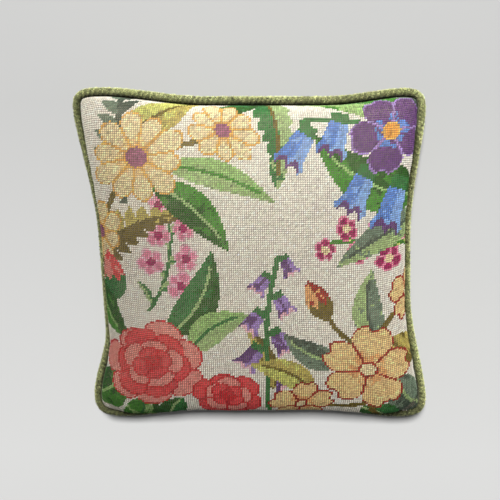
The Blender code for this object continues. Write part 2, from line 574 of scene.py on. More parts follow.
# The wools of the leaves that recur: the lit half's, the shaded half's and the rib's.
BRIGHT_LEAF = (Wool.GRASS, Wool.DARK_GREEN, Wool.LEAF_LIGHT)
PALE_LEAF = (Wool.LEAF_LIGHT, Wool.GRASS, Wool.FOREST)
DARK_LEAF = (Wool.FOREST, Wool.DARK_GREEN, Wool.SOFT_GREEN)
GREY_LEAF = (Wool.SAGE, Wool.DARK_SAGE, Wool.SOFT_GREEN)
SOFT_LEAF = (Wool.SOFT_GREEN, Wool.SAGE, Wool.DARK_SAGE)
YELLOW_LEAF = (Wool.CHARTREUSE, Wool.KHAKI, Wool.OLIVE)


class Chart:
    """The design, one wool a stitch, in the order in which its motifs are worked."""

    raggedness = 0.9
    wave_count = 12
    wave_lengths = (5.0, 14.0)

    def __init__(self, stitches: int, seed: int) -> None:
        """Starts with plain ground.

        Args:
            stitches: along each side of the panel.
            seed: fixes which stitches a blended area picks.
        """
        middles = np.arange(stitches) + 0.5
        self.x, self.y = np.meshgrid(middles, middles, indexing="ij")
        self.palette = list(Wool)
        self.ground = self.palette.index(Wool.CREAM)
        self.wools = np.full((stitches, stitches), self.ground)
        self.rng = np.random.default_rng(seed)
        self.patches = self.even_patches()

    def even_patches(self) -> Array:
        """Soft patches with ragged edges, each share from 0 to 1 equally common.

        Returns:
            A share for each stitch.
        """
        patches = self.raggedness * self.rng.standard_normal(self.x.shape)
        for _ in range(self.wave_count):
            heading, start = self.rng.uniform(0, 2 * math.pi, 2)
            turns = 2 * math.pi / self.rng.uniform(*self.wave_lengths)
            run = self.x * math.cos(heading) + self.y * math.sin(heading)
            patches = patches + np.sin(turns * run + start)
        order = np.argsort(patches, axis=None).argsort()
        return order.reshape(patches.shape) / patches.size

    def work(self, where: Array, wool: Wool, flecks: Wool | None = None, share: float = 0.3) -> None:
        """Works an area in one wool, with a share of it in small patches of another.

        Args:
            where: the stitches to work.
            wool: their wool.
            flecks: the other wool, if any.
            share: how many of them take it, 0 to 1.
        """
        self.wools[where] = self.palette.index(wool)
        if flecks is not None:
            self.wools[where & (self.patches < share)] = self.palette.index(flecks)

    def along(self, base: Point, tip: Point, bow: float) -> tuple[Array, Array]:
        """Where each stitch lies along a bowed line, 0 to 1, and how far off it, in stitches.

        Args:
            base: the line's start.
            tip: its end.
            bow: how far its middle bows aside, in stitches.

        Returns:
            The two, for each stitch.
        """
        run_x, run_y = tip[0] - base[0], tip[1] - base[1]
        length = math.hypot(run_x, run_y)
        off_x, off_y = self.x - base[0], self.y - base[1]
        along = (off_x * run_x + off_y * run_y) / length**2
        off = (off_y * run_x - off_x * run_y) / length
        return along, off - bow * 4 * along * (1 - along)

    def round(self, centre: Point, tilt: float, heading: float) -> tuple[Array, Array]:
        """Each stitch's distance from a centre and its angle, on a disc that is seen at a slant.

        Args:
            centre: its middle, in stitches.
            tilt: how narrow its slant makes it, 1 for round.
            heading: degrees of its long axis.

        Returns:
            The distances in stitches, and the angles in radians.
        """
        off_x, off_y = self.x - centre[0], self.y - centre[1]
        heading = math.radians(heading)
        near = off_x * math.cos(heading) + off_y * math.sin(heading)
        far = (off_y * math.cos(heading) - off_x * math.sin(heading)) / tilt
        return np.hypot(near, far), np.arctan2(far, near)

    def colours(self) -> Array:
        """Each stitch's colour, in linear light, by the usual curve for screens.

        Returns:
            Red, green and blue for each stitch.
        """
        table = np.array([wool.value for wool in self.palette]) / 255
        linear = np.where(table > 0.04045, ((table + 0.055) / 1.055) ** 2.4, table / 12.92)
        return linear[self.wools]


def reached(start: Point, heading: float, distance: float) -> Point:
    """The point at a distance from another one, in a direction in radians."""
    return start[0] + distance * math.cos(heading), start[1] + distance * math.sin(heading)


@dataclass(frozen=True)
class Leaf:
    """A leaf or blade, lit on one side of its rib and shaded on the other."""

    base: Point
    tip: Point
    wide: float
    bow: float
    lit: Wool
    shaded: Wool
    rib: Wool | None = None
    widest: float = 0.42
    point_power: float = 0.85
    shaded_flecks: float = 0.10
    lit_flecks: float = 0.14
    lit_past_rib: float = 0.05
    rib_half: float = 0.75
    rib_to: float = 0.86

    def work(self, chart: Chart) -> None:
        """Works the leaf into the chart.

        Args:
            chart: the design so far.
        """
        along, off = chart.along(self.base, self.tip, self.bow)
        inside = np.clip(along, 0, 1)
        power = math.log(0.5) / math.log(self.widest)
        half = self.wide / 2 * np.sin(np.pi * inside**power) ** self.point_power
        shape = (along > 0) & (along < 1) & (np.abs(off) < half)
        chart.work(shape, self.lit, self.shaded, self.shaded_flecks)
        chart.work(shape & (off < -self.lit_past_rib * half), self.shaded, self.lit, self.lit_flecks)
        if self.rib is not None:
            chart.work(shape & (np.abs(off) < self.rib_half) & (along < self.rib_to), self.rib)


@dataclass(frozen=True)
class Stem:
    """A stem of even width."""

    base: Point
    tip: Point
    wide: float
    bow: float
    wool: Wool

    def work(self, chart: Chart) -> None:
        """Works the stem into the chart."""
        along, off = chart.along(self.base, self.tip, self.bow)
        chart.work((along > 0) & (along < 1) & (np.abs(off) < self.wide / 2), self.wool)

    @property
    def heading(self) -> float:
        """Which way the stem's straight line points, in radians."""
        return math.atan2(self.tip[1] - self.base[1], self.tip[0] - self.base[0])

    def place(self, share: float) -> Point:
        """A point of the stem's line, for what grows on it.

        Args:
            share: how far up the stem, 0 to 1.

        Returns:
            The point, in stitches.
        """
        run_x, run_y = self.tip[0] - self.base[0], self.tip[1] - self.base[1]
        length = math.hypot(run_x, run_y)
        off = self.bow * 4 * share * (1 - share)
        return (
            self.base[0] + run_x * share - run_y / length * off,
            self.base[1] + run_y * share + run_x / length * off,
        )


@dataclass(frozen=True)
class Bloom:
    """An open flower of equal petals, seen at a slant."""

    centre: Point
    radius: float
    petals: int
    fill: Wool
    shade: Wool
    edge: Wool
    heart: Wool
    ring: Wool
    turn: float = 0.0
    tilt: float = 0.85
    heading: float = 0.0
    cleft: float = 0.30
    notch: float = 0.0
    heart_share: float = 0.20
    edge_wide: float = 1.1
    uneven: float = 0.07
    petal_power: float = 0.7
    notch_wide: float = 0.05
    shaded_on_petal: float = 0.22
    shaded_between: float = 0.30
    flecks: float = 0.35
    parting: float = 0.62
    ring_wide: float = 1.1

    def work(self, chart: Chart) -> None:
        """Works the flower into the chart, petals first and heart last.

        Args:
            chart: the design so far.
        """
        away, angle = chart.round(self.centre, self.tilt, self.heading)
        turned = self.petals * (angle - math.radians(self.turn)) / 2
        lobe = np.abs(np.cos(turned))
        petal = np.round(turned / np.pi) % self.petals
        own = 1 + self.uneven * np.sin(petal * 2.4 + self.turn)
        reach = self.radius * own * (1 - self.cleft * (1 - lobe**self.petal_power))
        reach = reach * (1 - self.notch * np.exp(-(((1 - lobe) / self.notch_wide) ** 2)))
        shape = away < reach
        heart = self.radius * self.heart_share
        chart.work(shape, self.fill)
        shade_to = heart + (reach - heart) * (self.shaded_on_petal + self.shaded_between * (1 - lobe))
        chart.work(shape & (away < shade_to), self.shade, self.fill, self.flecks)
        chart.work(shape & (reach - away < self.edge_wide), self.edge)
        parted = away * np.arcsin(np.minimum(lobe, 1)) * 2 / self.petals < self.parting
        chart.work(shape & parted & (away > heart), self.edge)
        chart.work(away < heart + self.ring_wide, self.ring)
        chart.work(away < heart, self.heart)


@dataclass(frozen=True)
class FullBloom:
    """A double flower, its rings of petals one inside another."""

    centre: Point
    radius: float
    wools: tuple[Wool, ...]
    edge: Wool
    petals: int = 6
    tilt: float = 0.88
    heading: float = 0.0

    def work(self, chart: Chart) -> None:
        """Works the rings of petals from the outer one in.

        Args:
            chart: the design so far.
        """
        rings = len(self.wools)
        for index, wool in enumerate(self.wools):
            share = 1 - index / rings
            inner = self.wools[min(index + 1, rings - 1)]
            Bloom(
                centre=(self.centre[0], self.centre[1] + index * 0.5),
                radius=self.radius * share,
                petals=max(self.petals - index, 3),
                fill=wool,
                shade=inner,
                edge=self.edge,
                heart=inner,
                ring=inner,
                turn=index * 31.0,
                tilt=self.tilt,
                heading=self.heading,
                cleft=0.16,
                heart_share=0.1,
                edge_wide=0.9,
            ).work(chart)


@dataclass(frozen=True)
class Bell:
    """A hanging bell flower, from its stalk to its scalloped mouth."""

    top: Point
    mouth: Point
    wide: float
    lit: Wool
    shaded: Wool
    inside: Wool
    cap: Wool
    neck: float = 0.50
    widening: float = 0.22
    flare: float = 0.30
    flare_from: float = 0.62
    shoulder: float = 0.22
    scallops: int = 3
    scallop_deep: float = 0.14
    lit_past_middle: float = 0.12
    flecks: float = 0.15
    fold_half: float = 0.6
    fold_to: float = 0.75
    mouth_long: float = 0.13
    mouth_half: float = 0.7
    cap_from: float = -0.08
    cap_to: float = 0.16
    cap_half: float = 0.24

    def work(self, chart: Chart) -> None:
        """Works the bell, its mouth and its green cap.

        Args:
            chart: the design so far.
        """
        along, off = chart.along(self.top, self.mouth, 0.0)
        inside = np.clip(along, 0, 1)
        flare = self.flare * smooth((inside - self.flare_from) / (1 - self.flare_from))
        half = self.wide / 2 * (self.neck + self.widening * inside + flare)
        half = half * np.sqrt(np.clip(inside / self.shoulder, 0, 1))
        scallop = 1 - self.scallop_deep * np.abs(np.sin(off / self.wide * self.scallops * np.pi))
        shape = (along > 0) & (along < scallop) & (np.abs(off) < half)
        mouth = (along > scallop - self.mouth_long) & (np.abs(off) < half * self.mouth_half)
        cap = (along > self.cap_from) & (along < self.cap_to) & (np.abs(off) < self.wide * self.cap_half)
        chart.work(shape, self.lit)
        chart.work(shape & (off < -self.lit_past_middle * half), self.shaded, self.lit, self.flecks)
        chart.work(shape & (np.abs(off) < self.fold_half) & (along < self.fold_to), self.shaded)
        chart.work(shape & mouth, self.inside)
        chart.work(cap, self.cap)


@dataclass(frozen=True)
class Bud:
    """A closed bud in its green cup."""

    base: Point
    tip: Point
    wide: float
    lit: Wool
    shaded: Wool
    cup: Wool
    widest: float = 0.40
    cup_from: float = -0.10
    cup_long: float = 0.80
    cup_power: float = 0.8
    sepal_low: float = 0.26
    sepal_point: float = 0.16
    sepals: float = 2.6

    def work(self, chart: Chart) -> None:
        """Works the bud and its cup.

        Args:
            chart: the design so far.
        """
        petals = Leaf(self.base, self.tip, self.wide, 0.0, self.lit, self.shaded, widest=self.widest)
        petals.work(chart)
        along, off = chart.along(self.base, self.tip, 0.0)
        share = np.clip((along - self.cup_from) / self.cup_long, 0, 1)
        half = self.wide / 2 * np.sin(np.pi * share) ** self.cup_power
        point = np.abs(np.cos(np.pi * off / self.wide * self.sepals))
        chart.work((along < self.sepal_low + self.sepal_point * point) & (np.abs(off) < half), self.cup)


@dataclass(frozen=True)
class Spray:
    """A stem with small flowers and leaves, side by side up it."""

    stem: Stem
    flowers: int
    reach: float
    radius: float
    petals: int
    fill: Wool
    edge: Wool
    heart: Wool
    leaf: Wool
    leaf_shade: Wool
    first_at: float = 0.25
    reach_at_foot: float = 1.1
    reach_taper: float = 0.6
    spread: float = 62.0
    twig_wide: float = 1.2
    leaf_below: float = 0.17
    leaf_spread: float = 48.0
    leaf_long: float = 1.3
    leaf_wide: float = 3.6
    size_at_foot: float = 1.05
    size_taper: float = 0.35
    turn: float = 23.0

    def work(self, chart: Chart) -> None:
        """Works the stem, then its leaves, then its flowers from the foot up.

        Args:
            chart: the design so far.
        """
        self.stem.work(chart)
        flowers = []
        for index in range(self.flowers):
            share = self.first_at + (1 - self.first_at) * index / max(self.flowers - 1, 1)
            side = 1 if index % 2 else -1
            foot = self.stem.place(share)
            reach = self.reach * (self.reach_at_foot - self.reach_taper * share)
            end = reached(foot, self.stem.heading + side * math.radians(self.spread), reach)
            Stem(foot, end, self.twig_wide, 0.0, self.leaf_shade).work(chart)
            low = self.stem.place(max(share - self.leaf_below, 0))
            back = self.stem.heading - side * math.radians(self.leaf_spread)
            tip = reached(low, back, reach * self.leaf_long)
            Leaf(low, tip, self.leaf_wide, side * 1.0, self.leaf, self.leaf_shade).work(chart)
            size = self.size_at_foot - self.size_taper * share
            flowers.append((end, self.radius * size, index * self.turn))
        for centre, radius, turn in flowers:
            Bloom(
                centre, radius, self.petals, self.fill, self.fill, self.edge, self.heart, self.heart,
                turn=turn, tilt=0.92, heading=turn, cleft=0.28, heart_share=0.16, edge_wide=1.0,
            ).work(chart)


@dataclass(frozen=True)
class Fern:
    """A frond of paired leaflets that shorten towards its tip."""

    stem: Stem
    pairs: int
    reach: float
    wide: float
    lit: Wool
    shaded: Wool
    first_at: float = 0.10
    paired_over: float = 0.88
    taper: float = 0.6
    least: float = 0.6
    fullest_at: float = 0.2
    spread: float = 50.0
    leaflet_bow: float = 0.8
    rib_to: float = 0.8
    tip_leaflet: Point = (0.80, 1.12)

    def work(self, chart: Chart) -> None:
        """Works the leaflets in pairs, the one at the tip, and the rib over them.

        Args:
            chart: the design so far.
        """
        along, off = chart.along(self.stem.base, self.stem.tip, self.stem.bow)
        chart.work((along > 0) & (along < self.rib_to) & (np.abs(off) < self.stem.wide), self.shaded)
        for index in range(self.pairs):
            share = self.first_at + self.paired_over * index / self.pairs
            foot = self.stem.place(share)
            grown = self.least + (1 - self.least) * min(share / self.fullest_at, 1)
            reach = self.reach * (1 - share) ** self.taper * grown
            for side, wool in ((1, self.lit), (-1, self.shaded)):
                tip = reached(foot, self.stem.heading + side * math.radians(self.spread), reach)
                Leaf(foot, tip, self.wide, -side * self.leaflet_bow, wool, wool).work(chart)
        foot, tip = (self.stem.place(share) for share in self.tip_leaflet)
        Leaf(foot, tip, self.wide, 0.0, self.lit, self.shaded).work(chart)
        self.stem.work(chart)


@dataclass(frozen=True)
class BellStalk:
    """A tall stalk with bells down both its sides, smaller towards its tip."""

    stem: Stem
    bells: int
    long: float
    wide: float
    first_at: float = 0.34
    hung_over: float = 0.64
    size_at_foot: float = 1.15
    size_taper: float = 0.55
    twig_long: float = 4.5
    twig_wide: float = 1.6
    twig_spread: float = 66.0
    bell_spread: float = 148.0

    def work(self, chart: Chart) -> None:
        """Works the stalk, then its bells from the tip down.

        Args:
            chart: the design so far.
        """
        self.stem.work(chart)
        for index in reversed(range(self.bells)):
            share = self.first_at + self.hung_over * index / (self.bells - 1)
            foot = self.stem.place(share)
            size = self.size_at_foot - self.size_taper * share
            side = 1 if index % 2 else -1
            bend = self.stem.heading + side * math.radians(self.twig_spread)
            top = reached(foot, bend, self.twig_long * size)
            hang = self.stem.heading + side * math.radians(self.bell_spread)
            mouth = reached(top, hang, self.long * size)
            Stem(foot, top, self.twig_wide, 0.0, Wool.FOREST).work(chart)
            Bell(top, mouth, self.wide * size, Wool.LILAC, Wool.PURPLE, Wool.BLUSH, Wool.FOREST).work(chart)


@dataclass
class Garden:
    """The design: loose groups of garden flowers round an open ground, with a stalk that grows into it."""

    stitches: int = 168
    seed: int = 11

    def daisy(
        self, centre: Point, radius: float, petals: int, turn: float, tilt: float, heading: float
    ) -> Bloom:
        """A pale daisy outlined in gold, with a mauve heart.

        Args:
            centre: its middle, in stitches.
            radius: its reach, in stitches.
            petals: how many it has.
            turn: degrees that its petals are turned by.
            tilt: how narrow its slant makes it, 1 for round.
            heading: degrees of its long axis.

        Returns:
            The flower.
        """
        return Bloom(
            centre, radius, petals, Wool.BUTTER, Wool.APRICOT, Wool.GOLD, Wool.MAUVE, Wool.GOLD,
            turn=turn, tilt=tilt, heading=heading, cleft=0.26, heart_share=0.22,
        )

    def dog_rose(self, centre: Point, radius: float, turn: float, tilt: float, heading: float) -> Bloom:
        """An apricot dog rose outlined in rust.

        Args:
            centre: its middle, in stitches.
            radius: its reach, in stitches.
            turn: degrees that its petals are turned by.
            tilt: how narrow its slant makes it, 1 for round.
            heading: degrees of its long axis.

        Returns:
            The flower.
        """
        return Bloom(
            centre, radius, 5, Wool.APRICOT, Wool.PEACH, Wool.RUST, Wool.BUTTER, Wool.RUST,
            turn=turn, tilt=tilt, heading=heading, cleft=0.34, notch=0.12, heart_share=0.15,
        )

    def upper_left(self) -> tuple:
        """Pale daisies with mauve hearts over fern.

        Returns:
            The motifs, in the order of work.
        """
        return (
            Fern(Stem((-6, 78), (48, 112), 1.4, 6, Wool.OLIVE), 8, 19, 6.0, Wool.KHAKI, Wool.OLIVE),
            Fern(Stem((25, 116), (18, 182), 1.6, -4, Wool.DARK_SAGE), 7, 21, 5.4, Wool.SAGE, Wool.DARK_SAGE),
            Leaf((46, 134), (96, 118), 13, 4, Wool.LEAF_LIGHT, Wool.SOFT_GREEN, Wool.GRASS),
            Leaf((40, 126), (74, 96), 17, 4, Wool.GRASS, Wool.DARK_GREEN, Wool.SOFT_GREEN),
            Leaf((26, 148), (62, 176), 17, -4, *YELLOW_LEAF),
            Leaf((70, 160), (92, 176), 12, -3, Wool.FOREST, Wool.DARK_GREEN, None),
            Stem((30, 132), (70, 146), 2.4, 3, Wool.OLIVE),
            Stem((8, 92), (30, 132), 2.6, 3, Wool.OLIVE),
            self.daisy((33, 137), 23, 10, 8, 0.88, 20),
            self.daisy((73, 150), 17, 9, 20, 0.80, -30),
            self.daisy((9, 101), 16, 8, 3, 0.84, 70),
        )

    def upper_right(self) -> tuple:
        """Blue bell flowers on arching stems, with a purple bloom.

        Returns:
            The motifs, in the order of work.
        """
        bells = (
            ((112, 151), (101, 133), 17), ((127, 157), (121, 138), 17), ((155, 126), (147, 102), 20),
            ((139, 132), (129, 112), 18),
        )
        return (
            Leaf((170, 150), (100, 171), 19, -6, *PALE_LEAF),
            Leaf((172, 118), (114, 148), 22, 8, *BRIGHT_LEAF),
            Leaf((173, 108), (124, 88), 15, -4, *SOFT_LEAF),
            Leaf((156, 138), (171, 176), 14, 4, Wool.SAGE, Wool.DARK_SAGE, None),
            Stem((170, 132), (108, 154), 2.6, -9, Wool.FOREST),
            Stem((170, 112), (134, 136), 2.6, -8, Wool.DARK_GREEN),
            *(
                Bell(top, mouth, wide, Wool.SKY, Wool.BLUE, Wool.PURPLE, Wool.FOREST)
                for top, mouth, wide in bells
            ),
            Bloom((150, 149), 21, 5, Wool.PURPLE, Wool.BLUE, Wool.LILAC, Wool.ORANGE, Wool.GOLD,
                  turn=14, tilt=0.88, heading=30, cleft=0.34, notch=0.08, heart_share=0.17),
        )

    def lower_right(self) -> tuple:
        """Apricot dog roses outlined in rust, among sage leaves.

        Returns:
            The motifs, in the order of work.
        """
        return (
            Leaf((126, 40), (98, 56), 14, 4, *GREY_LEAF),
            Leaf((144, 48), (141, 86), 15, 4, *SOFT_LEAF),
            Stem((132, 50), (119, 66), 2.2, 2, Wool.OLIVE),
            Leaf((150, 30), (174, 0), 18, -4, *GREY_LEAF),
            Leaf((150, 50), (174, 36), 15, -3, Wool.KHAKI, Wool.OLIVE, None),
            Leaf((112, 22), (80, 40), 14, -5, *YELLOW_LEAF),
            Leaf((112, 14), (84, -5), 14, 3, *GREY_LEAF),
            Leaf((134, 14), (154, -8), 15, 4, *DARK_LEAF),
            Stem((150, -2), (134, 36), 3.0, 4, Wool.OLIVE),
            Stem((140, 18), (108, 18), 2.6, 3, Wool.OLIVE),
            Stem((134, 40), (161, 68), 2.6, 3, Wool.OLIVE),
            self.dog_rose((137, 36), 25, 24, 0.88, -20),
            self.dog_rose((105, 16), 17, 50, 0.82, 35),
            self.dog_rose((162, 70), 15, 5, 0.84, 80),
            Bud((119, 64), (110, 82), 12, Wool.PEACH, Wool.RUST, Wool.OLIVE),
        )

    def lower_left(self) -> tuple:
        """Double coral flowers among dark green leaves.

        Returns:
            The motifs, in the order of work.
        """
        corals = (Wool.SALMON, Wool.CORAL, Wool.SALMON, Wool.CORAL, Wool.DEEP_CORAL)
        pinks = (Wool.CORAL, Wool.SALMON, Wool.CORAL, Wool.DEEP_CORAL)
        return (
            Leaf((20, 52), (-2, 90), 17, 4, *BRIGHT_LEAF),
            Leaf((42, 54), (66, 96), 18, -6, *DARK_LEAF),
            Leaf((18, 32), (-8, 8), 20, 4, *BRIGHT_LEAF),
            Leaf((30, 20), (10, -8), 17, 4, *PALE_LEAF),
            Leaf((52, 46), (82, 66), 15, 4, Wool.LEAF_LIGHT, Wool.SOFT_GREEN, Wool.FOREST),
            Leaf((48, 20), (40, -8), 15, -4, *DARK_LEAF),
            Leaf((74, 12), (94, -6), 14, -4, *BRIGHT_LEAF),
            Stem((30, -2), (34, 40), 3.0, -3, Wool.DARK_GREEN),
            Stem((58, -2), (68, 22), 2.8, 2, Wool.DARK_GREEN),
            Stem((22, 44), (17, 78), 2.6, 3, Wool.DARK_GREEN),
            FullBloom((33, 38), 26, corals, Wool.DEEP_CORAL, petals=7, heading=20),
            FullBloom((70, 21), 17, pinks, Wool.DEEP_CORAL, petals=6, heading=-20),
            Bud((18, 72), (13, 93), 14, Wool.SALMON, Wool.CORAL, Wool.FOREST),
        )

    def between(self) -> tuple:
        """What fills the sides and grows into the ground: sprays, a leafy branch and a stalk of bells.

        Returns:
            The motifs, in the order of work.
        """
        return (
            Fern(Stem((90, 176), (98, 130), 1.6, 3, Wool.OLIVE), 6, 14, 8.0, Wool.SOFT_GREEN, Wool.FOREST),
            Leaf((92, 26), (80, 60), 9, -3, Wool.KHAKI, Wool.OLIVE, None),
            BellStalk(Stem((90, 10), (97, 94), 2.4, 4, Wool.FOREST), 7, 17, 16),
            Spray(Stem((34, 66), (46, 112), 1.8, -5, Wool.FOREST), 6, 11, 7.8, 5, Wool.ROSE, Wool.BLUSH,
                  Wool.MAGENTA, Wool.SOFT_GREEN, Wool.FOREST),
            Spray(Stem((176, 88), (122, 100), 1.8, -4, Wool.GRASS), 6, 10, 8.0, 5, Wool.MAGENTA, Wool.ROSE,
                  Wool.BUTTER, Wool.CHARTREUSE, Wool.GRASS),
        )

    def chart(self) -> Chart:
        """Works every group and returns the chart.

        Returns:
            The whole design.
        """
        chart = Chart(self.stitches, self.seed)
        groups = self.between, self.upper_left, self.upper_right, self.lower_right, self.lower_left
        for group in groups:
            for motif in group():
                motif.work(chart)
        return chart


class Nodes:
    """Adds nodes to one tree and joins them."""

    def __init__(self, tree: NodeTree) -> None:
        """Takes the tree that it adds to."""
        self.tree = tree

    def add(self, kind: str, inputs: dict | None = None, **settings: object) -> Node:
        """Adds a node.

        Args:
            kind: the node's type, without its ShaderNode prefix.
            inputs: a value, or another node's output, for each named or numbered input.
            settings: the node's own properties.

        Returns:
            The node.
        """
        node = self.tree.nodes.new("ShaderNode" + kind)
        for name, value in settings.items():
            setattr(node, name, value)
        self.fill(node, inputs or {})
        return node

    def fill(self, node: Node, inputs: dict) -> None:
        """Feeds each named or numbered input of a node."""
        for name, value in inputs.items():
            self.feed(node.inputs[name], value)

    def feed(self, socket: NodeSocket, value: object) -> None:
        """Joins an output to a socket, or sets the socket's own value.

        Args:
            socket: the input.
            value: an output, or a plain value.
        """
        if isinstance(value, NodeSocket):
            self.tree.links.new(value, socket)
        else:
            socket.default_value = value

    def math(self, kind: str, first: object, second: object = 0.0) -> NodeSocket:
        """The result of one sum."""
        return self.add("Math", {0: first, 1: second}, operation=kind).outputs[0]

    def mapped(self, value: object, low: float, high: float, start: float = 0.0,
               stop: float = 1.0) -> NodeSocket:
        """A value from a start to a stop, spread between two others."""
        spread = {"Value": value, "From Min": start, "From Max": stop, "To Min": low, "To Max": high}
        return self.add("MapRange", spread).outputs[0]

    def mixed(self, share: object, first: object, second: object) -> NodeSocket:
        """Two colours mixed.

        Args:
            share: how much of the second, 0 to 1.
            first: a colour or an output.
            second: the other one.

        Returns:
            The mixed colour.
        """
        mix = self.add("Mix", data_type="RGBA")
        colours = [s for s in mix.inputs if s.type == "RGBA"]
        for socket, value in zip((mix.inputs[0], *colours), (share, first, second)):
            self.feed(socket, value)
        return next(s for s in mix.outputs if s.type == "RGBA")

    def multiplied(self, first: object, second: object) -> NodeSocket:
        """Two colours multiplied."""
        return self.add("VectorMath", {0: first, 1: second}, operation="MULTIPLY").outputs[0]

    def noise(self, place: object, scale: object, detail: float, distortion: float = 0.0) -> NodeSocket:
        """Soft noise, 0 to 1."""
        inputs = {"Vector": place, "Scale": scale, "Detail": detail, "Distortion": distortion}
        return self.add("TexNoise", inputs).outputs["Fac"]

    def bump(self, strength: float, distance: float, height: object) -> NodeSocket:
        """Normals roughened by a height."""
        return self.add("Bump", {"Strength": strength, "Distance": distance, "Height": height}).outputs[0]

    def place(self) -> NodeSocket:
        """Each point's place on its piece, in metres."""
        return self.add("TexCoord").outputs["Object"]

    def attribute(self, name: str, output: str = "Color") -> NodeSocket:
        """A value that a mesh carries at its points."""
        return self.add("Attribute", attribute_name=name).outputs[output]


@dataclass(frozen=True)
class Socket:
    """One input or output of a shader node group."""

    name: str
    kind: str = "NodeSocketFloat"
    value: float | None = None


PLACE = Socket("Vector", "NodeSocketVector")
TINT = Socket("Colour", "NodeSocketColor")


def new_group(name: str, inputs: tuple[Socket, ...], outputs: tuple[Socket, ...]) -> tuple[Nodes, Node, Node]:
    """A shader node group: its node helper, its input node and its output node.

    Args:
        name: its name.
        inputs: its inputs.
        outputs: its outputs.

    Returns:
        The helper and the two nodes.
    """
    tree = bpy.data.node_groups.new(name, "ShaderNodeTree")
    for direction, sockets in (("INPUT", inputs), ("OUTPUT", outputs)):
        for socket in sockets:
            made = tree.interface.new_socket(socket.name, in_out=direction, socket_type=socket.kind)
            if socket.value is not None:
                made.default_value = socket.value
    return Nodes(tree), tree.nodes.new("NodeGroupInput"), tree.nodes.new("NodeGroupOutput")


@dataclass
class Effects:
    """The effects that several finishes share, each a shader node group."""

    dye_detail: float = 3.0
    hue_swing: float = 0.12
    fibre_detail: float = 2.0
    ply_slant: float = 1.6
    ply_turns: float = 6200.0
    patch_detail: float = 4.0
    patch_distortion: float = 0.6
    patch_share: float = 0.65
    pile_share: float = 0.5
    lying_to: float = 0.38
    standing_from: float = 0.78
    nap_roughness: tuple = (0.72, 0.95)
    groups: dict[str, NodeTree] = field(default_factory=dict)

    def build(self) -> None:
        """Builds each group once."""
        self.groups = {"dye": self.uneven_dye(), "fibres": self.fibres(), "nap": self.nap()}

    def uneven_dye(self) -> NodeTree:
        """A colour that wanders a little over the cloth, as hand-dyed yarn does.

        Returns:
            The group.
        """
        inputs = (PLACE, TINT, Socket("Scale", value=30.0), Socket("Amount", value=0.08))
        nodes, first, last = new_group("uneven_dye", inputs, (TINT,))
        noise = nodes.noise(first.outputs["Vector"], first.outputs["Scale"], self.dye_detail)
        swing = nodes.math("MULTIPLY", nodes.math("SUBTRACT", noise, 0.5), first.outputs["Amount"])
        value = nodes.math("ADD", nodes.math("MULTIPLY", swing, 2.0), 1.0)
        warmth = nodes.math("ADD", nodes.math("MULTIPLY", swing, self.hue_swing), 0.5)
        inputs = {"Color": first.outputs["Colour"], "Value": value, "Hue": warmth}
        nodes.feed(last.inputs["Colour"], nodes.add("HueSaturation", inputs).outputs[0])
        return nodes.tree

    def fibres(self) -> NodeTree:
        """Fine fibres that run along a yarn, and the furrows between its plies.

        Returns:
            The group.
        """
        inputs = (
            PLACE, Socket("Scale", value=1800.0), Socket("Stretch", value=5.0), Socket("Plies", value=0.4)
        )
        nodes, first, last = new_group("fibres", inputs, (Socket("Height"), Socket("Furrows")))
        parts = nodes.add("SeparateXYZ", {0: first.outputs["Vector"]})
        across = nodes.math("MULTIPLY", parts.outputs[1], first.outputs["Stretch"])
        drawn = nodes.add("CombineXYZ", {0: parts.outputs[0], 1: across, 2: parts.outputs[2]})
        noise = nodes.noise(drawn.outputs[0], first.outputs["Scale"], self.fibre_detail)
        slant = nodes.math("ADD", parts.outputs[0], nodes.math("MULTIPLY", parts.outputs[1], self.ply_slant))
        wave = nodes.math("SINE", nodes.math("MULTIPLY", slant, self.ply_turns))
        furrows = nodes.math("MULTIPLY", nodes.mapped(wave, 0.0, 1.0), first.outputs["Plies"])
        nodes.fill(last, {"Height": nodes.math("ADD", noise, furrows), "Furrows": noise})
        return nodes.tree

    def nap(self) -> NodeTree:
        """Velvet's nap: patches where the pile lies one way or stands, in two tones.

        Returns:
            The group.
        """
        inputs = (
            PLACE, Socket("Lying", TINT.kind), Socket("Standing", TINT.kind),
            Socket("Patch Scale", value=28.0), Socket("Pile Scale", value=1400.0),
        )
        nodes, first, last = new_group("velvet_nap", inputs, (TINT, Socket("Roughness"), Socket("Height")))
        place, scale = first.outputs["Vector"], first.outputs["Patch Scale"]
        patches = nodes.noise(place, scale, self.patch_detail, self.patch_distortion)
        pile = nodes.noise(place, first.outputs["Pile Scale"], self.fibre_detail)
        patches = nodes.math("MULTIPLY", patches, self.patch_share)
        blend = nodes.math("ADD", patches, nodes.math("MULTIPLY", pile, self.pile_share))
        share = nodes.mapped(blend, 0.0, 1.0, self.lying_to, self.standing_from)
        colour = nodes.mixed(share, first.outputs["Lying"], first.outputs["Standing"])
        roughness = nodes.mapped(share, *self.nap_roughness)
        nodes.fill(last, {"Colour": colour, "Roughness": roughness, "Height": pile})
        return nodes.tree

    def place(self, nodes: Nodes, name: str, inputs: dict) -> Node:
        """Places a group in a material's tree, with that material's own values."""
        return nodes.add("Group", inputs, node_tree=self.groups[name])


def new_material(name: str) -> tuple[Material, Nodes, Node]:
    """A material with its node helper and its Principled BSDF.

    Args:
        name: its name.

    Returns:
        The three.
    """
    made = bpy.data.materials.new(name)
    made.use_nodes = True
    return made, Nodes(made.node_tree), made.node_tree.nodes["Principled BSDF"]


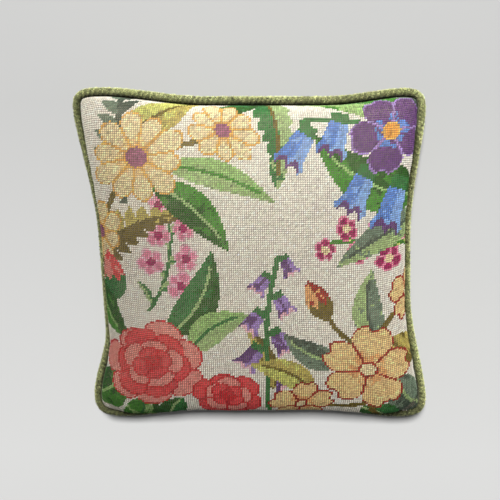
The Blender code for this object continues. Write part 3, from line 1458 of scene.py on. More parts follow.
@dataclass(frozen=True)
class WoolFinish:
    """Matte wool in the chart's colours with the stitches' painted shade, and its fibres along each stitch.
    """

    dye_scale: float = 22.0
    dye_amount: float = 0.05
    fibre_scale: float = 2400.0
    furrows: tuple = (0.3, 0.7)
    furrow_tones: tuple = (0.88, 1.10)
    roughness: tuple = (0.95, 0.80)
    sheen: float = 0.08
    sheen_roughness: float = 0.5
    specular: float = 0.12
    bump: float = 0.9
    bump_deep: float = 0.0009

    def build(self, effects: Effects) -> Material:
        """Builds the material.

        Args:
            effects: the shared groups.

        Returns:
            The material.
        """
        made, nodes, shader = new_material("wool_needlepoint")
        stitch = {"Vector": nodes.place(), "Colour": nodes.attribute("wool")}
        dye = {**stitch, "Scale": self.dye_scale, "Amount": self.dye_amount}
        dyed = effects.place(nodes, "dye", dye).outputs["Colour"]
        yarn = {"Vector": nodes.attribute("yarn", "Vector"), "Scale": self.fibre_scale}
        fibres = effects.place(nodes, "fibres", yarn)
        furrows = fibres.outputs["Furrows"]
        shade = nodes.mapped(furrows, *self.furrow_tones, *self.furrows)
        nodes.fill(shader, {
            "Base Color": nodes.add("VectorMath", {0: dyed, "Scale": shade}, operation="SCALE").outputs[0],
            "Roughness": nodes.mapped(furrows, *self.roughness),
            "Sheen Weight": self.sheen,
            "Sheen Roughness": self.sheen_roughness,
            "Specular IOR Level": self.specular,
            "Normal": nodes.bump(self.bump, self.bump_deep, fibres.outputs["Height"]),
        })
        return made


@dataclass(frozen=True)
class CanvasFinish:
    """Woven cotton canvas, seen only in the holes between stitches, and coloured dark there as painted shade.
    """

    # Painted shade: the canvas is coloured dark to stand for the shadow in the holes; its threads are lighter
    # than the gaps between them.
    light: Colour = (0.30, 0.26, 0.19, 1)
    dark: Colour = (0.10, 0.085, 0.06, 1)
    pitch: float = 0.002117
    dye_scale: float = 300.0
    dye_amount: float = 0.2
    roughness: float = 0.9
    bump: float = 0.6
    bump_deep: float = 0.0002

    def build(self, effects: Effects) -> Material:
        """Builds the material.

        Args:
            effects: the shared groups.

        Returns:
            The material.
        """
        made, nodes, shader = new_material("stitch_canvas_painted_shade")
        place = nodes.place()
        parts = nodes.add("SeparateXYZ", {0: place})
        warp, weft = (
            nodes.math("SINE", nodes.math("MULTIPLY", parts.outputs[axis], 2 * math.pi / self.pitch))
            for axis in (0, 1)
        )
        threads = nodes.mapped(nodes.math("MAXIMUM", warp, weft), 0.0, 1.0)
        colour = nodes.mixed(threads, self.dark, self.light)
        dye = {"Vector": place, "Colour": colour, "Scale": self.dye_scale, "Amount": self.dye_amount}
        nodes.fill(shader, {
            "Base Color": effects.place(nodes, "dye", dye).outputs["Colour"],
            "Roughness": self.roughness,
            "Normal": nodes.bump(self.bump, self.bump_deep, threads),
        })
        return made


@dataclass(frozen=True)
class VelvetFinish:
    """Olive velvet in two tones, multiplied by the tones its mesh carries at its points: grain and chance,
    with painted shade and painted highlight.
    """

    name: str
    lying: Colour
    standing: Colour
    sheen: float
    patch_scale: float = 26.0
    tint: Colour = (0.80, 0.84, 0.58, 1)
    sheen_roughness: float = 0.35
    specular: float = 0.2
    bump: float = 0.5
    bump_deep: float = 0.0004

    def build(self, effects: Effects) -> Material:
        """Builds the material.

        Args:
            effects: the shared groups.

        Returns:
            The material.
        """
        made, nodes, shader = new_material(self.name)
        tones = {"Vector": nodes.place(), "Lying": self.lying, "Standing": self.standing}
        nap = effects.place(nodes, "nap", {**tones, "Patch Scale": self.patch_scale})
        nodes.fill(shader, {
            "Base Color": nodes.multiplied(nap.outputs["Colour"], nodes.attribute("pile")),
            "Roughness": nap.outputs["Roughness"],
            "Sheen Weight": self.sheen,
            "Sheen Roughness": self.sheen_roughness,
            "Sheen Tint": self.tint,
            "Specular IOR Level": self.specular,
            "Normal": nodes.bump(self.bump, self.bump_deep, nap.outputs["Height"]),
        })
        return made


BACK_VELVET = VelvetFinish(
    "olive_velvet_back", (0.090, 0.100, 0.036, 1), (0.150, 0.160, 0.065, 1), sheen=0.40
)
PIPING_VELVET = VelvetFinish(
    "olive_velvet_piping", (0.125, 0.136, 0.050, 1), (0.225, 0.236, 0.108, 1), sheen=0.50,
    patch_scale=60.0, tint=(0.92, 0.93, 0.74, 1),
)


@dataclass(frozen=True)
class FloorFinish:
    """A plain pale floor with painted light: lighter in front of the cushion than behind it."""

    # Painted light: the floor's colour grows lighter towards the front.
    front: Colour = (0.692, 0.692, 0.683, 1)
    behind: Colour = (0.550, 0.550, 0.543, 1)
    front_y: float = -0.25
    behind_y: float = 0.16
    unworn: Colour = (1, 1, 1, 1)
    worn: Colour = (0.955, 0.955, 0.950, 1)
    wear_scale: float = 3.0
    wear_detail: float = 2.0
    roughness: float = 0.65

    def build(self) -> Material:
        """Builds the material.

        Returns:
            The material.
        """
        made, nodes, shader = new_material("pale_floor")
        place = nodes.place()
        along = nodes.add("SeparateXYZ", {0: place}).outputs["Y"]
        share = nodes.mapped(along, 0.0, 1.0, self.front_y, self.behind_y)
        tone = nodes.mixed(share, self.front, self.behind)
        wear = nodes.mixed(nodes.noise(place, self.wear_scale, self.wear_detail), self.unworn, self.worn)
        nodes.fill(shader, {"Base Color": nodes.multiplied(tone, wear), "Roughness": self.roughness})
        return made


def mesh_of(name: str, points: Array, faces: list[Array]) -> Mesh:
    """A mesh from arrays.

    Args:
        name: the mesh's name.
        points: the vertices, one a row.
        faces: arrays of vertex numbers, one face a row, each array of one kind of face.

    Returns:
        The mesh, shaded smooth.
    """
    mesh = bpy.data.meshes.new(name)
    points = points.reshape(-1, 3)
    mesh.vertices.add(len(points))
    mesh.vertices.foreach_set("co", points.astype(np.float32).ravel())
    corners = np.concatenate([kind.ravel() for kind in faces])
    sizes = np.concatenate([np.full(len(kind), kind.shape[1]) for kind in faces])
    mesh.loops.add(len(corners))
    mesh.loops.foreach_set("vertex_index", corners.astype(np.int32))
    mesh.polygons.add(len(sizes))
    starts = np.concatenate(((0,), np.cumsum(sizes)[:-1]))
    mesh.polygons.foreach_set("loop_start", starts.astype(np.int32))
    mesh.update(calc_edges=True)
    mesh.validate()
    mesh.shade_smooth()
    return mesh


def colour_points(mesh: Mesh, name: str, colours: Array) -> None:
    """Gives a mesh a colour attribute, one colour a vertex.

    Args:
        mesh: the mesh to mark.
        name: the attribute's name.
        colours: red, green and blue for each.
    """
    layer = mesh.color_attributes.new(name, "FLOAT_COLOR", "POINT")
    opaque = np.concatenate((colours.reshape(-1, 3), np.ones((colours.size // 3, 1))), axis=1)
    layer.data.foreach_set("color", opaque.astype(np.float32).ravel())


def add_object(name: str, data: ID) -> Object:
    """Adds an object to the scene.

    Args:
        name: its name.
        data: its mesh, light or camera.

    Returns:
        The object.
    """
    made = bpy.data.objects.new(name, data)
    bpy.context.scene.collection.objects.link(made)
    return made


def add_piece(name: str, mesh: Mesh, finish: Material) -> Object:
    """Adds a piece that rides on the cushion's one body.

    Args:
        name: its name.
        mesh: its mesh.
        finish: its material.

    Returns:
        The piece.
    """
    mesh.materials.append(finish)
    piece = add_object(name, mesh)
    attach(piece, BODY)
    return piece


def grid_faces(columns: int, rows: int, start: int = 0) -> Array:
    """The quads of a grid of vertices that are numbered up each column, facing its normals.

    Args:
        columns: how many columns there are.
        rows: how many vertices each has.
        start: the first vertex's number.

    Returns:
        Four vertex numbers a row.
    """
    column, row = np.meshgrid(np.arange(columns - 1), np.arange(rows - 1), indexing="ij")
    low = (start + column * rows + row).ravel()
    return np.stack((low, low + rows, low + rows + 1, low + 1), axis=1)


def rim_indices(cells: int) -> Array:
    """The vertex numbers of a square grid's edge, anticlockwise from its lower left corner.

    Args:
        cells: how many cells lie along a side.

    Returns:
        The numbers.
    """
    run = np.arange(cells)
    side = cells + 1
    return np.concatenate(
        (run * side, cells * side + run, (cells - run) * side + cells, cells - run)
    )


@dataclass
class TentStitch:
    """One stitch: a plump length of wool from a hole of the canvas to the next one up and across."""

    pitch: float = 0.002117
    wide: float = 0.00158
    high: float = 0.00115
    sunk: float = 0.00045
    stations: tuple = (0.14, 0.50, 0.86)
    station_wide: tuple = (0.70, 1.0, 0.70)
    station_high: tuple = (0.56, 1.0, 0.56)
    round_points: int = 5
    round_power: float = 0.9
    # Painted shade on the wool: how dark it is painted deep between stitches, and at the ends by the holes.
    deep_shade_tone: float = 0.32
    end_shade_tone: float = 0.74
    ends_from: float = 0.2
    ends_over: float = 0.6

    def outline(self) -> tuple[Array, Array, Array]:
        """The stitch's points: along it, 0 to 1, across it and up, in metres, tips first and last.

        Returns:
            The three, a number for each point.
        """
        angles = np.linspace(0, np.pi, self.round_points)
        along, across, up = [0.0], [0.0], [-self.sunk]
        for place, wide, high in zip(self.stations, self.station_wide, self.station_high):
            along += [place] * self.round_points
            across += list(self.wide / 2 * wide * np.cos(angles))
            up += list(self.high * high * np.sin(angles) ** self.round_power)
        return np.array(along + [1.0]), np.array(across + [0.0]), np.array(up + [-self.sunk])

    def tones(self, along: Array, up: Array) -> Array:
        """How dark each point is painted: painted shade deep between stitches, and at the ends, by the holes.

        Args:
            along: the points' places along a stitch, 0 to 1.
            up: their heights, in metres.

        Returns:
            The painted shade for each, 0 to 1.
        """
        share = (up + self.sunk) / (self.high + self.sunk)
        ends = smooth((np.abs(2 * along - 1) - self.ends_from) / self.ends_over)
        deep = self.deep_shade_tone + (1 - self.deep_shade_tone) * smooth(share)
        return deep * (1 - (1 - self.end_shade_tone) * ends)

    def faces(self) -> list[Array]:
        """The stitch's quads, and the triangles of its two tips.

        Returns:
            The quads, and the triangles.
        """
        count, rings = self.round_points, len(self.stations)
        low = np.array([1 + ring * count + k for ring in range(rings - 1) for k in range(count - 1)])
        quads = np.stack((low, low + 1, low + count + 1, low + count), axis=1)
        first = np.arange(1, count)
        start = np.stack((np.zeros_like(first), first + 1, first), axis=1)
        final = 1 + (rings - 1) * count + np.arange(count - 1)
        end = np.stack((np.full_like(final, 1 + rings * count), final, final + 1), axis=1)
        return [quads, np.concatenate((start, end))]


@dataclass
class NeedlepointFace:
    """The worked face: the canvas, and its stitches in four joined pieces."""

    form: CushionForm
    chart: Chart
    stitch: TentStitch = field(default_factory=TentStitch)
    canvas_cells: int = 84
    canvas_thick: float = 0.0004
    canvas_inset: float = 0.8
    # The darkest that the stitches' painted shade may go.
    deepest_shade_tone: float = 0.12
    wool_unevenness: float = 0.085
    motif_unevenness: float = 0.145
    tint_share: float = 0.12
    # How much richer the colour turns where shade is painted.
    shade_richness: float = 0.9
    seam_sunk: float = 0.0005
    seam_rows: float = 2.4
    # Painted shade in the rows by the seam: its darkest tone, and over how many rows it fades.
    seam_shade_tone: float = 0.28
    seam_shade_rows: float = 1.7
    fuller_from: float = 0.50
    fuller_to: float = 0.95
    # How much the painted shade between stitches is lightened towards the top, where the key light falls into
    # the gaps.
    top_light_tone: float = 0.45
    fuller_wide: float = 0.06
    wide_jitter: float = 0.07
    high_jitter: float = 0.08
    lean_jitter: float = 0.05
    drift_jitter: float = 0.03
    lane_half: float = 0.24
    # The share of the face from the left where the painted shade between stitches is deeper, and by how much.
    left_shade_within: float = 0.36
    left_shade_tone: float = 0.58
    seed: int = 3

    def __post_init__(self) -> None:
        """Lays the panel over the form."""
        self.surface = self.form.cloth(self.form.face, seed=1, outward=1)

    @property
    def stitches(self) -> int:
        """How many stitches run along each side."""
        return self.chart.wools.shape[0]

    @property
    def panel(self) -> float:
        """The flat panel's side."""
        return self.stitches * self.stitch.pitch

    def from_seam(self, plan_x: Array, plan_y: Array) -> Array:
        """How many stitches in from the nearest seam a place of the flat panel is."""
        sides = np.stack((plan_x, plan_y, self.stitches - plan_x, self.stitches - plan_y))
        return sides.min(axis=0)

    def sewn_in(self, from_seam: Array) -> Array:
        """How much lower the cloth lies where it turns down into the seam."""
        return self.seam_sunk * (1 - smooth(from_seam / self.seam_rows))

    def canvas(self, finish: Material) -> Object:
        """The canvas under the stitches, a thin sheet on the form.

        Args:
            finish: its material.

        Returns:
            The piece.
        """
        inset = self.canvas_inset / self.stitches
        even = np.linspace(inset, 1 - inset, self.canvas_cells + 1)
        across, up = np.meshgrid(even, even, indexing="ij")
        low = self.sewn_in(self.from_seam(across * self.stitches, up * self.stitches))
        places = self.surface.at(across, up, -self.stitch.high - low)
        points = self.canvas_cells + 1
        mesh = mesh_of("needlepoint_canvas", places, [grid_faces(points, points)])
        piece = add_piece("needlepoint_canvas", mesh, finish)
        solidify = piece.modifiers.new("thickness", "SOLIDIFY")
        solidify.thickness = self.canvas_thick
        solidify.offset = -1
        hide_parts("needlepoint_front")
        return piece

    def quarter(self, name: str, columns: slice, rows: slice, finish: Material) -> Object:
        """The stitches of one quarter of the face, as one joined mesh.

        Args:
            name: the piece's name.
            columns: the quarter's columns of stitches.
            rows: its rows.
            finish: the wool.

        Returns:
            The piece.
        """
        rng = np.random.default_rng([self.seed, columns.start, rows.start])
        column, row = np.meshgrid(
            np.arange(columns.start, columns.stop), np.arange(rows.start, rows.stop), indexing="ij"
        )
        column, row = column.reshape(-1, 1), row.reshape(-1, 1)
        count = len(column)
        along, across, up = self.stitch.outline()
        fuller = smooth((row / self.stitches - self.fuller_from) / (self.fuller_to - self.fuller_from))
        wide = 1 + self.wide_jitter * rng.standard_normal((count, 1)) + self.fuller_wide * fuller
        high = 1 + self.high_jitter * rng.standard_normal((count, 1))
        lean = self.lean_jitter * rng.standard_normal((count, 1))
        drift = self.drift_jitter * rng.standard_normal((2, count, 1)) * (along * (1 - along) * 4)
        off = across * wide / self.stitch.pitch + lean * (along - 0.5)
        plan_x = column + along - off / math.sqrt(2) + drift[0]
        plan_y = row + along + off / math.sqrt(2) + drift[1]
        from_seam = self.from_seam(plan_x, plan_y)
        # Painted shade: the rows by the seam are darkened, standing in for the seam's shadow.
        painted_seam_shade = self.seam_shade_tone + (1 - self.seam_shade_tone) * smooth(from_seam / self.seam_shade_rows)
        height = np.where(up > 0, up * high, up) - self.stitch.high - self.sewn_in(from_seam)
        places = self.surface.at(plan_x / self.stitches, plan_y / self.stitches, height)
        faces = [
            (kind[None] + np.arange(count)[:, None, None] * len(along)).reshape(-1, kind.shape[1])
            for kind in self.stitch.faces()
        ]
        mesh = mesh_of(name, places, faces)
        # Painted shade between stitches: lighter towards the top, where the key light reaches the gaps, and
        # deeper over the left of the face.
        left_shade = 1 - smooth(column / self.stitches / self.left_shade_within)
        shade = 1 - self.top_light_tone * fuller + self.left_shade_tone * left_shade
        tones = np.maximum(1 - (1 - self.stitch.tones(along, up)) * shade, self.deepest_shade_tone)
        self.colour(mesh, column, row, tones * painted_seam_shade, rng)
        self.mark_yarn(mesh, along, across, rng, count)
        self.flat_layout(mesh, columns, rows, column, row, along, across)
        piece = add_piece(name, mesh, finish)
        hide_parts("needlepoint_front")
        return piece

    def colour(self, mesh: Mesh, column: Array, row: Array, tones: Array,
               rng: np.random.Generator) -> None:
        """Gives each stitch its wool, uneven from one to the next, times its painted shade, with the colour
        made richer where that shade is deep.

        Args:
            mesh: the mesh to mark.
            column: each stitch's column.
            row: each stitch's row.
            tones: the painted shade for each point.
            rng: the source of chance.
        """
        colours = self.chart.colours()[column[:, 0], row[:, 0]]
        ground = self.chart.wools[column, row] == self.chart.ground
        uneven = np.where(ground, self.wool_unevenness, self.motif_unevenness)
        tone = 1 + uneven * rng.standard_normal((len(colours), 1))
        tint = 1 + self.tint_share * uneven * rng.standard_normal((len(colours), 3))
        colours = np.clip(colours * tone * tint, 0, 1)
        tones = tones[:, :, None]
        rich = colours[:, None, :] ** (1 + self.shade_richness * (1 - tones))
        colour_points(mesh, "wool", rich * tones)

    def mark_yarn(self, mesh: Mesh, along: Array, across: Array, rng: np.random.Generator,
                  count: int) -> None:
        """Marks each point with its place on its own yarn, in metres, for the fibres.

        Args:
            mesh: the mesh to mark.
            along: the points' places along a stitch, 0 to 1.
            across: their places across it, in metres.
            rng: the source of chance.
            count: how many stitches there are.
        """
        length = self.stitch.pitch * math.sqrt(2)
        start = rng.uniform(0, 1, (count, 1))
        own = np.stack(
            np.broadcast_arrays(along * length + start, across + start * 0.37, start), axis=-1
        )
        layer = mesh.attributes.new("yarn", "FLOAT_VECTOR", "POINT")
        layer.data.foreach_set("vector", own.astype(np.float32).ravel())

    def flat_layout(self, mesh: Mesh, columns: slice, rows: slice, column: Array, row: Array,
                    along: Array, across: Array) -> None:
        """Lays the stitches out flat, side by side as on the panel, for the surface maps.

        Args:
            mesh: the mesh to mark.
            columns: the quarter's columns.
            rows: the quarter's rows.
            column: each stitch's column.
            row: each stitch's row.
            along: the points' places along a stitch, 0 to 1.
            across: their places across it, in metres.
        """
        lane = across / (self.stitch.wide / 2) * self.lane_half
        flat_x = (column - columns.start + 0.5 + along - lane) / (columns.stop - columns.start + 1)
        flat_y = (row - rows.start + 0.5 + along + lane) / (rows.stop - rows.start + 1)
        flat = np.stack((flat_x, flat_y), axis=-1).reshape(-1, 2)
        corners = np.empty(len(mesh.loops), dtype=np.int32)
        mesh.loops.foreach_get("vertex_index", corners)
        layer = mesh.uv_layers.new(name="OFBake")
        layer.data.foreach_set("uv", flat[corners].astype(np.float32).ravel())

    def build(self, wool: Material, cotton: Material, body: str) -> None:
        """Args:
            wool: the stitches' material.
            cotton: the canvas's.
            body: the name of the piece that the cloth rests on; not used.
        """
        half = self.stitches // 2
        halves = {"lower": slice(0, half), "upper": slice(half, self.stitches)}
        sides = {"left": slice(0, half), "right": slice(half, self.stitches)}
        worked = [
            self.quarter(f"stitches_{level}_{side}", columns, rows, wool)
            for level, rows in halves.items()
            for side, columns in sides.items()
        ]
        canvas = self.canvas(cotton)
        LOG.info("needlepoint face: %d stitches on a %.0f mm panel", self.stitches**2, self.panel / MM)


@dataclass
class VelvetBack:
    """The filled cushion under the canvas, with its plain velvet back, as one closed form."""

    form: CushionForm
    cells: int = 112
    canvas_thick: float = 0.0024
    canvas_edge_thick: float = 0.0016
    clearance: float = 0.0003
    edge_clearance: float = 0.0006
    pressed: float = 0.18
    flange_reach: float = 0.0014
    flange_thick: float = 0.0007
    # Painted shade in the valley under the canvas's edge: how dark the top and the step are painted.
    valley_shade_tone: float = 0.22

    def build(self, face: Surface, finish: Material) -> Object:
        """Args:
            face: the needlepoint's surface.
            finish: its material.

        Returns:
            The piece.
        """
        even = np.linspace(0, 1, self.cells + 1)
        across, up = np.meshgrid(even, even, indexing="ij")
        from_seam = np.minimum(np.minimum(across, 1 - across), np.minimum(up, 1 - up))
        share = np.clip(from_seam / self.pressed, 0, 1)
        under = self.canvas_edge_thick + self.edge_clearance
        deep = under + share * (self.canvas_thick + self.clearance - under)
        top = face.at(across, up, -deep).reshape(-1, 3)
        back_cloth = self.form.cloth(self.form.back, seed=2, outward=-1)
        back = back_cloth.at(across, up, np.zeros(across.shape)).reshape(-1, 3)
        back[:, 2] = np.maximum(back[:, 2], 0.0)
        points = self.cells + 1
        rim = rim_indices(self.cells)
        seam = back[rim]
        out = level_out(np.roll(seam, -1, axis=0) - np.roll(seam, 1, axis=0))
        folded = seam.copy()
        folded[:, 2] += self.flange_thick
        step = np.column_stack((top[rim][:, :2], folded[:, 2]))
        flange = folded + out * self.flange_reach
        count = points * points
        step_ring = 2 * count + np.arange(len(rim))
        rings = [rim, step_ring, step_ring + len(rim), count + rim]
        faces = [grid_faces(points, points), grid_faces(points, points, count)[:, ::-1]]
        for upper, lower in zip(rings, rings[1:]):
            faces.append(np.stack((upper, lower, np.roll(lower, -1), np.roll(upper, -1)), axis=1))
        mesh = mesh_of("velvet_back", np.vstack((top, back, step, flange)), faces)
        # Painted shade: the top and the step, down in the valley between the canvas and the cord, are
        # darkened.
        shaded = np.ones((len(mesh.vertices), 3))
        shaded[:count] = self.valley_shade_tone
        shaded[2 * count:] = self.valley_shade_tone
        colour_points(mesh, "pile", shaded)
        piece = add_piece("velvet_back", mesh, finish)
        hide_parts("cushion_body")
        LOG.info("velvet back: %d faces", len(mesh.polygons))
        return piece


@dataclass(frozen=True)
class Tufts:
    """The pile's tufts: how close and how big they are, how they lean, and how light they look, with painted
    shade and painted highlight.
    """

    every: float = 0.00074
    wide: float = 0.00088
    long: float = 0.00125
    long_at_least: float = 0.0004
    long_at_most: float = 0.0018
    plain_long: float = 0.80
    streak_long: float = 0.30
    long_jitter: float = 0.25
    root_sunk: float = 0.00015
    none_below: float = -0.80
    clump_every: float = 0.0019
    lean_ahead: float = 0.40
    lean_around: float = 0.25
    lean_clump: float = 0.45
    lean_jitter: float = 0.22
    plain_tone: float = 0.55
    streak_tone: float = 0.62
    wander_tone: float = 0.25
    clump_tone: float = 0.40
    tone_jitter: float = 0.34
    # Painted shade on the seam side of the cord, and painted highlight on its outer side.
    seam_shade_tone: float = 1.15
    outer_highlight_tone: float = 0.75
    darkest: float = 0.12
    lightest: float = 3.2
    tint_jitter: float = 0.06
    # Painted shade at each tuft's root and painted highlight at its tip.
    root_shade_tone: float = 0.50
    tip_highlight_tone: float = 1.80


@dataclass
class CordedPiping:
    """The velvet-covered cord in the seam: its round body, and its short pile."""

    form: CushionForm
    radius: float = 0.0036
    standoff: float = 0.0043
    steps: int = 940
    sides: int = 20
    streak_pitch: float = 0.0050
    streak_deep: float = 0.00022
    cover_tone: float = 0.30
    cover_streak_tone: float = 0.35
    # Painted light on the cord's right side, and painted shade along its bottom side.
    right_light_gain: float = 0.50
    bottom_shade_loss: float = 0.42
    seed: int = 5
    tufts: Tufts = field(default_factory=Tufts)

    def __post_init__(self) -> None:
        """Works out the cord's own line, closed, and the directions out of it."""
        line, out = self.form.seam_line(self.steps)
        self.line, self.runs = closed_runs(line + out * self.standoff)
        self.out = np.vstack((out, out[:1]))
        self.length = self.runs[-1]

    def frame_at(self, run: Array) -> tuple[Array, Array, Array]:
        """The cord's middle, its outward direction and its own direction, a way along it.

        Args:
            run: metres along the cord.

        Returns:
            The middle and the two directions.
        """
        run = run % self.length
        middle = read_line(run, self.runs, self.line)
        out = unit(read_line(run, self.runs, self.out))
        ahead = np.stack((-out[..., 1], out[..., 0], np.zeros(out.shape[:-1])), axis=-1)
        return middle, out, ahead

    def streak(self, run: Array, angle: Array) -> Array:
        """How far a place lies in one of the slanting streaks of the cover's grain, 0 to 1.

        Args:
            run: metres along the cord.
            angle: radians round the cord.

        Returns:
            The share.
        """
        turns = round(self.length / self.streak_pitch)
        wander = 0.9 * np.sin(run * 61.0) + 0.6 * np.sin(run * 143.0 + 1.3)
        return 0.5 + 0.5 * np.sin(2 * angle - 2 * np.pi * turns * run / self.length + wander)

    def painted_light_by_side(self, out: Array) -> Array:
        """Painted light and shade on the pile: lighter along the right side, and darker along the bottom.

        Args:
            out: the level directions out of the cord.

        Returns:
            The tone, 1 where the pile is plain.
        """
        below = np.clip(-out[..., 1], 0, 1)
        right = np.clip(out[..., 0], 0, 1)
        return (1 + self.right_light_gain * right * (1 - below)) * (1 - self.bottom_shade_loss * below)

    def radial(self, out: Array, angle: Array) -> Array:
        """The direction out of the cord at an angle round it, from level at 0 to upright at a quarter."""
        return np.cos(angle)[..., None] * out + np.sin(angle)[..., None] * UP

    def cover(self, finish: Material) -> Object:
        """The cord's cover, a closed tube with slanting ridges.

        Args:
            finish: its material.

        Returns:
            The piece.
        """
        run, angle = np.meshgrid(
            np.arange(self.steps) / self.steps * self.length,
            np.arange(self.sides) / self.sides * 2 * np.pi,
            indexing="ij",
        )
        middle, out, _ = self.frame_at(run)
        # Painted light and shade by which side of the cushion the cord runs along.
        lit = self.painted_light_by_side(out)
        streak = self.streak(run, angle)
        reach = (self.radius + self.streak_deep * (streak - 0.5) * 2)[..., None]
        places = middle + reach * self.radial(out, angle)
        step, side = np.meshgrid(np.arange(self.steps), np.arange(self.sides), indexing="ij")
        after, beside = (step + 1) % self.steps, (side + 1) % self.sides
        count = self.sides
        quads = np.stack(
            (step * count + side, after * count + side, after * count + beside, step * count + beside),
            axis=-1,
        ).reshape(-1, 4)[:, ::-1]
        mesh = mesh_of("piping_cord", places, [quads])
        tone = (self.cover_tone + self.cover_streak_tone * streak**2) * lit
        colour_points(mesh, "pile", tone[..., None] * np.ones(3))
        piece = add_piece("piping_cord", mesh, finish)
        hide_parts("piping")
        return piece

    def clumps(self, run: Array, angle: Array, rng: np.random.Generator) -> Array:
        """A direction, the same for every tuft of a small clump, that its tufts lean in.

        Args:
            run: metres along the cord.
            angle: radians round the cord.
            rng: the source of chance.

        Returns:
            A direction for each tuft.
        """
        every = self.tufts.clump_every
        row = (run / every).astype(int)
        ring = ((angle % (2 * np.pi)) * self.radius / every + row * 0.5).astype(int)
        own = rng.standard_normal((row.max() + 1, ring.max() + 1, 3))
        return own[row, ring]

    def pile(self, finish: Material) -> Object:
        """The pile: small tapered tufts in slanting rows, one joined mesh.

        Args:
            finish: its material.

        Returns:
            The piece.
        """
        rng = np.random.default_rng(self.seed)
        tufts = self.tufts
        rows = round(self.length / tufts.every)
        round_count = round(2 * np.pi * self.radius / tufts.every)
        run, angle = np.meshgrid(np.arange(rows), np.arange(round_count), indexing="ij")
        run, angle = run.ravel(), angle.ravel()
        run = (run + rng.uniform(-0.5, 0.5, run.size)) * self.length / rows
        angle = (angle + rng.uniform(-0.5, 0.5, angle.size)) * 2 * np.pi / round_count
        kept = np.cos(angle) > tufts.none_below
        run, angle = run[kept], angle[kept]
        middle, out, ahead = self.frame_at(run)
        radial = self.radial(out, angle)
        around = -np.sin(angle)[:, None] * out + np.cos(angle)[:, None] * UP
        streak = self.streak(run, angle)
        root = middle + radial * (self.radius - tufts.root_sunk)
        clump = self.clumps(run, angle, rng)
        long = tufts.plain_long + tufts.streak_long * streak
        long = tufts.long * (long + tufts.long_jitter * rng.standard_normal(run.size))
        long = np.clip(long, tufts.long_at_least, tufts.long_at_most)[:, None]
        lean = tufts.lean_ahead * ahead + tufts.lean_around * around + tufts.lean_clump * clump
        lean = lean + tufts.lean_jitter * rng.standard_normal((run.size, 3))
        tip = root + unit(radial + lean) * long
        spin = rng.uniform(0, 2 * np.pi, run.size)
        feet = []
        for corner in range(3):
            turn = (spin + corner * 2 * np.pi / 3)[:, None]
            feet.append(root + tufts.wide / 2 * (np.cos(turn) * ahead + np.sin(turn) * around))
        mesh = mesh_of("piping_pile", np.stack((*feet, tip), axis=1), [self.tuft_faces(feet, radial)])
        # Painted light on the right and painted shade at the bottom.
        tone = self.tuft_tones(run, streak, clump, rng) * self.painted_light_by_side(out)
        # Painted shade towards the seam and painted highlight towards the outside.
        tone = tone * (tufts.seam_shade_tone + tufts.outer_highlight_tone * np.cos(angle))
        tone = np.clip(tone, tufts.darkest, tufts.lightest)[:, None, None]
        tint = 1 + tufts.tint_jitter * rng.standard_normal((run.size, 1, 3))
        # Painted shade at the roots, painted highlight at the tips.
        depth = np.array((tufts.root_shade_tone,) * 3 + (tufts.tip_highlight_tone,))[None, :, None]
        colour_points(mesh, "pile", np.broadcast_to(tone * tint * depth, (run.size, 4, 3)))
        piece = add_piece("piping_pile", mesh, finish)
        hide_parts("piping")
        return piece

    def tuft_faces(self, feet: list[Array], radial: Array) -> Array:
        """The three sides of each tuft, which has three feet and a tip, all facing out.

        Args:
            feet: the tufts' feet, in three arrays.
            radial: the directions out of the cord.

        Returns:
            Three vertex numbers a row.
        """
        count = len(radial)
        base = np.arange(count)[:, None] * 4
        faces = np.stack([base + np.array(corners) for corners in ((0, 1, 3), (1, 2, 3), (2, 0, 3))])
        lie = np.cross(feet[1] - feet[0], feet[2] - feet[0])
        flip = np.einsum("ij,ij->i", lie, radial) < 0
        faces[:, flip] = faces[:, flip][:, :, ::-1]
        return faces.reshape(-1, 3)

    def tuft_tones(self, run: Array, streak: Array, clump: Array, rng: np.random.Generator) -> Array:
        """How light each tuft is, by its streak, its clump and by chance.

        Args:
            run: metres along the cord.
            streak: how deep in a streak each tuft is, 0 to 1.
            clump: each clump's direction.
            rng: the source of chance.

        Returns:
            A tone for each tuft.
        """
        tufts = self.tufts
        wander = 0.5 + 0.25 * np.sin(run * 47.0) + 0.25 * np.sin(run * 113.0 + 2.0)
        tone = tufts.plain_tone + tufts.streak_tone * streak**2 + tufts.wander_tone * wander
        tone = tone * (1 + tufts.clump_tone * clump[:, 0])
        return tone * (1 + tufts.tone_jitter * rng.standard_normal(run.size))

    def build(self, finish: Material) -> None:
        """Builds the cover and its pile.

        Args:
            finish: its material.
        """
        cover = self.cover(finish)
        pile = self.pile(finish)
        LOG.info(
            "piping: %.2f m round, %d and %d faces", self.length, len(cover.data.polygons),
            len(pile.data.polygons),
        )


class Falls(Enum):
    """What a lamp's light falls on."""

    ON_FLOOR = "INCLUDE"
    ON_ALL_BUT_FLOOR = "EXCLUDE"


@dataclass(frozen=True)
class Lamp:
    """A soft square lamp: its place, what it points at, its side, its power and its colour."""

    name: str
    place: tuple
    target: tuple
    side: float
    power: float
    colour: tuple
    falls: Falls

    def build(self, floor: Object) -> None:
        """Hangs the lamp.

        Args:
            floor: the floor, which has its own lamp.
        """
        data = bpy.data.lights.new(self.name, "AREA")
        data.shape = "SQUARE"
        data.size = self.side
        data.energy = self.power
        data.color = self.colour
        lamp = add_object(self.name, data)
        lamp.location = self.place
        lamp.rotation_mode = "QUATERNION"
        lamp.rotation_quaternion = (Vector(self.target) - Vector(self.place)).to_track_quat("-Z", "Y")
        receivers = bpy.data.collections.new(f"{self.name}_receivers")
        receivers.objects.link(floor)
        receivers.collection_objects[0].light_linking.link_state = self.falls.value
        lamp.light_linking.receiver_collection = receivers


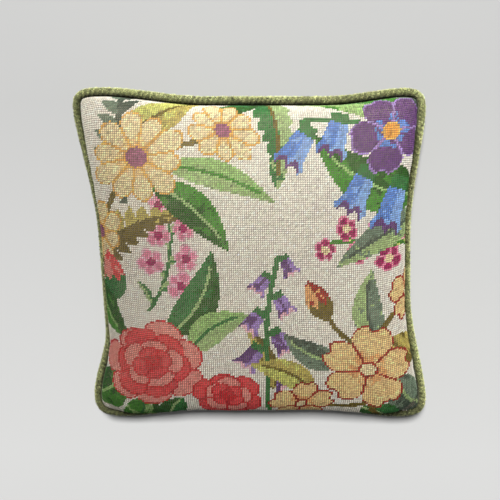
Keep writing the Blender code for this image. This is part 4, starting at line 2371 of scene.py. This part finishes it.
# The low key beyond the top edge, a lower lamp at the right, and one for the floor.
LAMPS = (
    Lamp("key", (-0.40, 2.26, 1.86), (0.0, 0.0, 0.05), 2.4, 234.0, (1.0, 0.99, 0.97), Falls.ON_ALL_BUT_FLOOR),
    Lamp("side", (2.60, 0.20, 0.36), (0.0, 0.0, 0.05), 1.6, 80.0, (0.97, 0.98, 1.0), Falls.ON_ALL_BUT_FLOOR),
    Lamp("floor_wash", (0.15, 4.20, 7.60), (0.0, 0.0, 0.0), 1.2, 890.0, (1.0, 1.0, 1.0), Falls.ON_FLOOR),
)


@dataclass
class Studio:
    """The plain pale floor, the soft lights and the camera at the photograph's angle."""

    seam_z: float
    tilt: float = 17.8
    swing: float = 3.9
    roll: float = -1.6
    distance: float = 1.4
    aim_right: float = -0.0044
    aim_up: float = 0.0074
    lens: float = 95.66
    floor_side: float = 9.0
    floor_low: float = 0.0002
    sky_colour: Colour = (0.96, 0.97, 1.0, 1)
    sky_strength: float = 0.10

    def floor(self) -> Object:
        """Lays the floor, just under the cushion's flat spot.

        Returns:
            The floor.
        """
        half = self.floor_side / 2
        corners = np.array([(x, y, -self.floor_low) for x in (-half, half) for y in (-half, half)])
        mesh = mesh_of("floor", corners, [grid_faces(2, 2)])
        mesh.materials.append(FloorFinish().build())
        piece = add_object("floor", mesh)
        return piece

    def sky(self) -> None:
        """Fills the air with faint pale light."""
        world = bpy.data.worlds.new("surroundings")
        world.use_nodes = True
        sky = world.node_tree.nodes["Background"]
        sky.inputs["Color"].default_value = self.sky_colour
        sky.inputs["Strength"].default_value = self.sky_strength
        bpy.context.scene.world = world
        bpy.context.scene.view_settings.view_transform = "Standard"

    def camera(self) -> None:
        """Sets the camera up at the photograph's angle to the face."""
        tilt, swing, roll = (math.radians(x) for x in (self.tilt, self.swing, self.roll))
        back = Vector((math.sin(swing) * math.cos(tilt), math.sin(tilt), math.cos(swing) * math.cos(tilt)))
        level = Vector((0, 1, 0)).cross(back).normalized()
        rise = back.cross(level)
        right = math.cos(roll) * level + math.sin(roll) * rise
        up = -math.sin(roll) * level + math.cos(roll) * rise
        aim = Vector((0, 0, self.seam_z)) + right * self.aim_right + up * self.aim_up
        data = bpy.data.cameras.new("camera")
        data.lens = self.lens
        camera = add_object("camera", data)
        turned = Matrix((right, up, back)).transposed().to_4x4()
        camera.matrix_world = Matrix.Translation(aim + back * self.distance) @ turned
        bpy.context.scene.camera = camera

    def build(self) -> None:
        """Builds the floor, the lights and the camera."""
        floor = self.floor()
        for lamp in LAMPS:
            lamp.build(floor)
        self.sky()
        self.camera()


def main() -> None:
    """Builds the cushion's looks and its studio."""
    logging.basicConfig(level=logging.INFO, format="%(name)s: %(message)s")
    effects = Effects()
    effects.build()
    form = CushionForm()
    Studio(form.seam_z).build()
    face = NeedlepointFace(form, Garden().chart())
    body = VelvetBack(form).build(face.surface, BACK_VELVET.build(effects))
    face.build(WoolFinish().build(effects), CanvasFinish().build(effects), body.name)
    CordedPiping(form).build(PIPING_VELVET.build(effects))


if __name__ == "__main__":
    main()
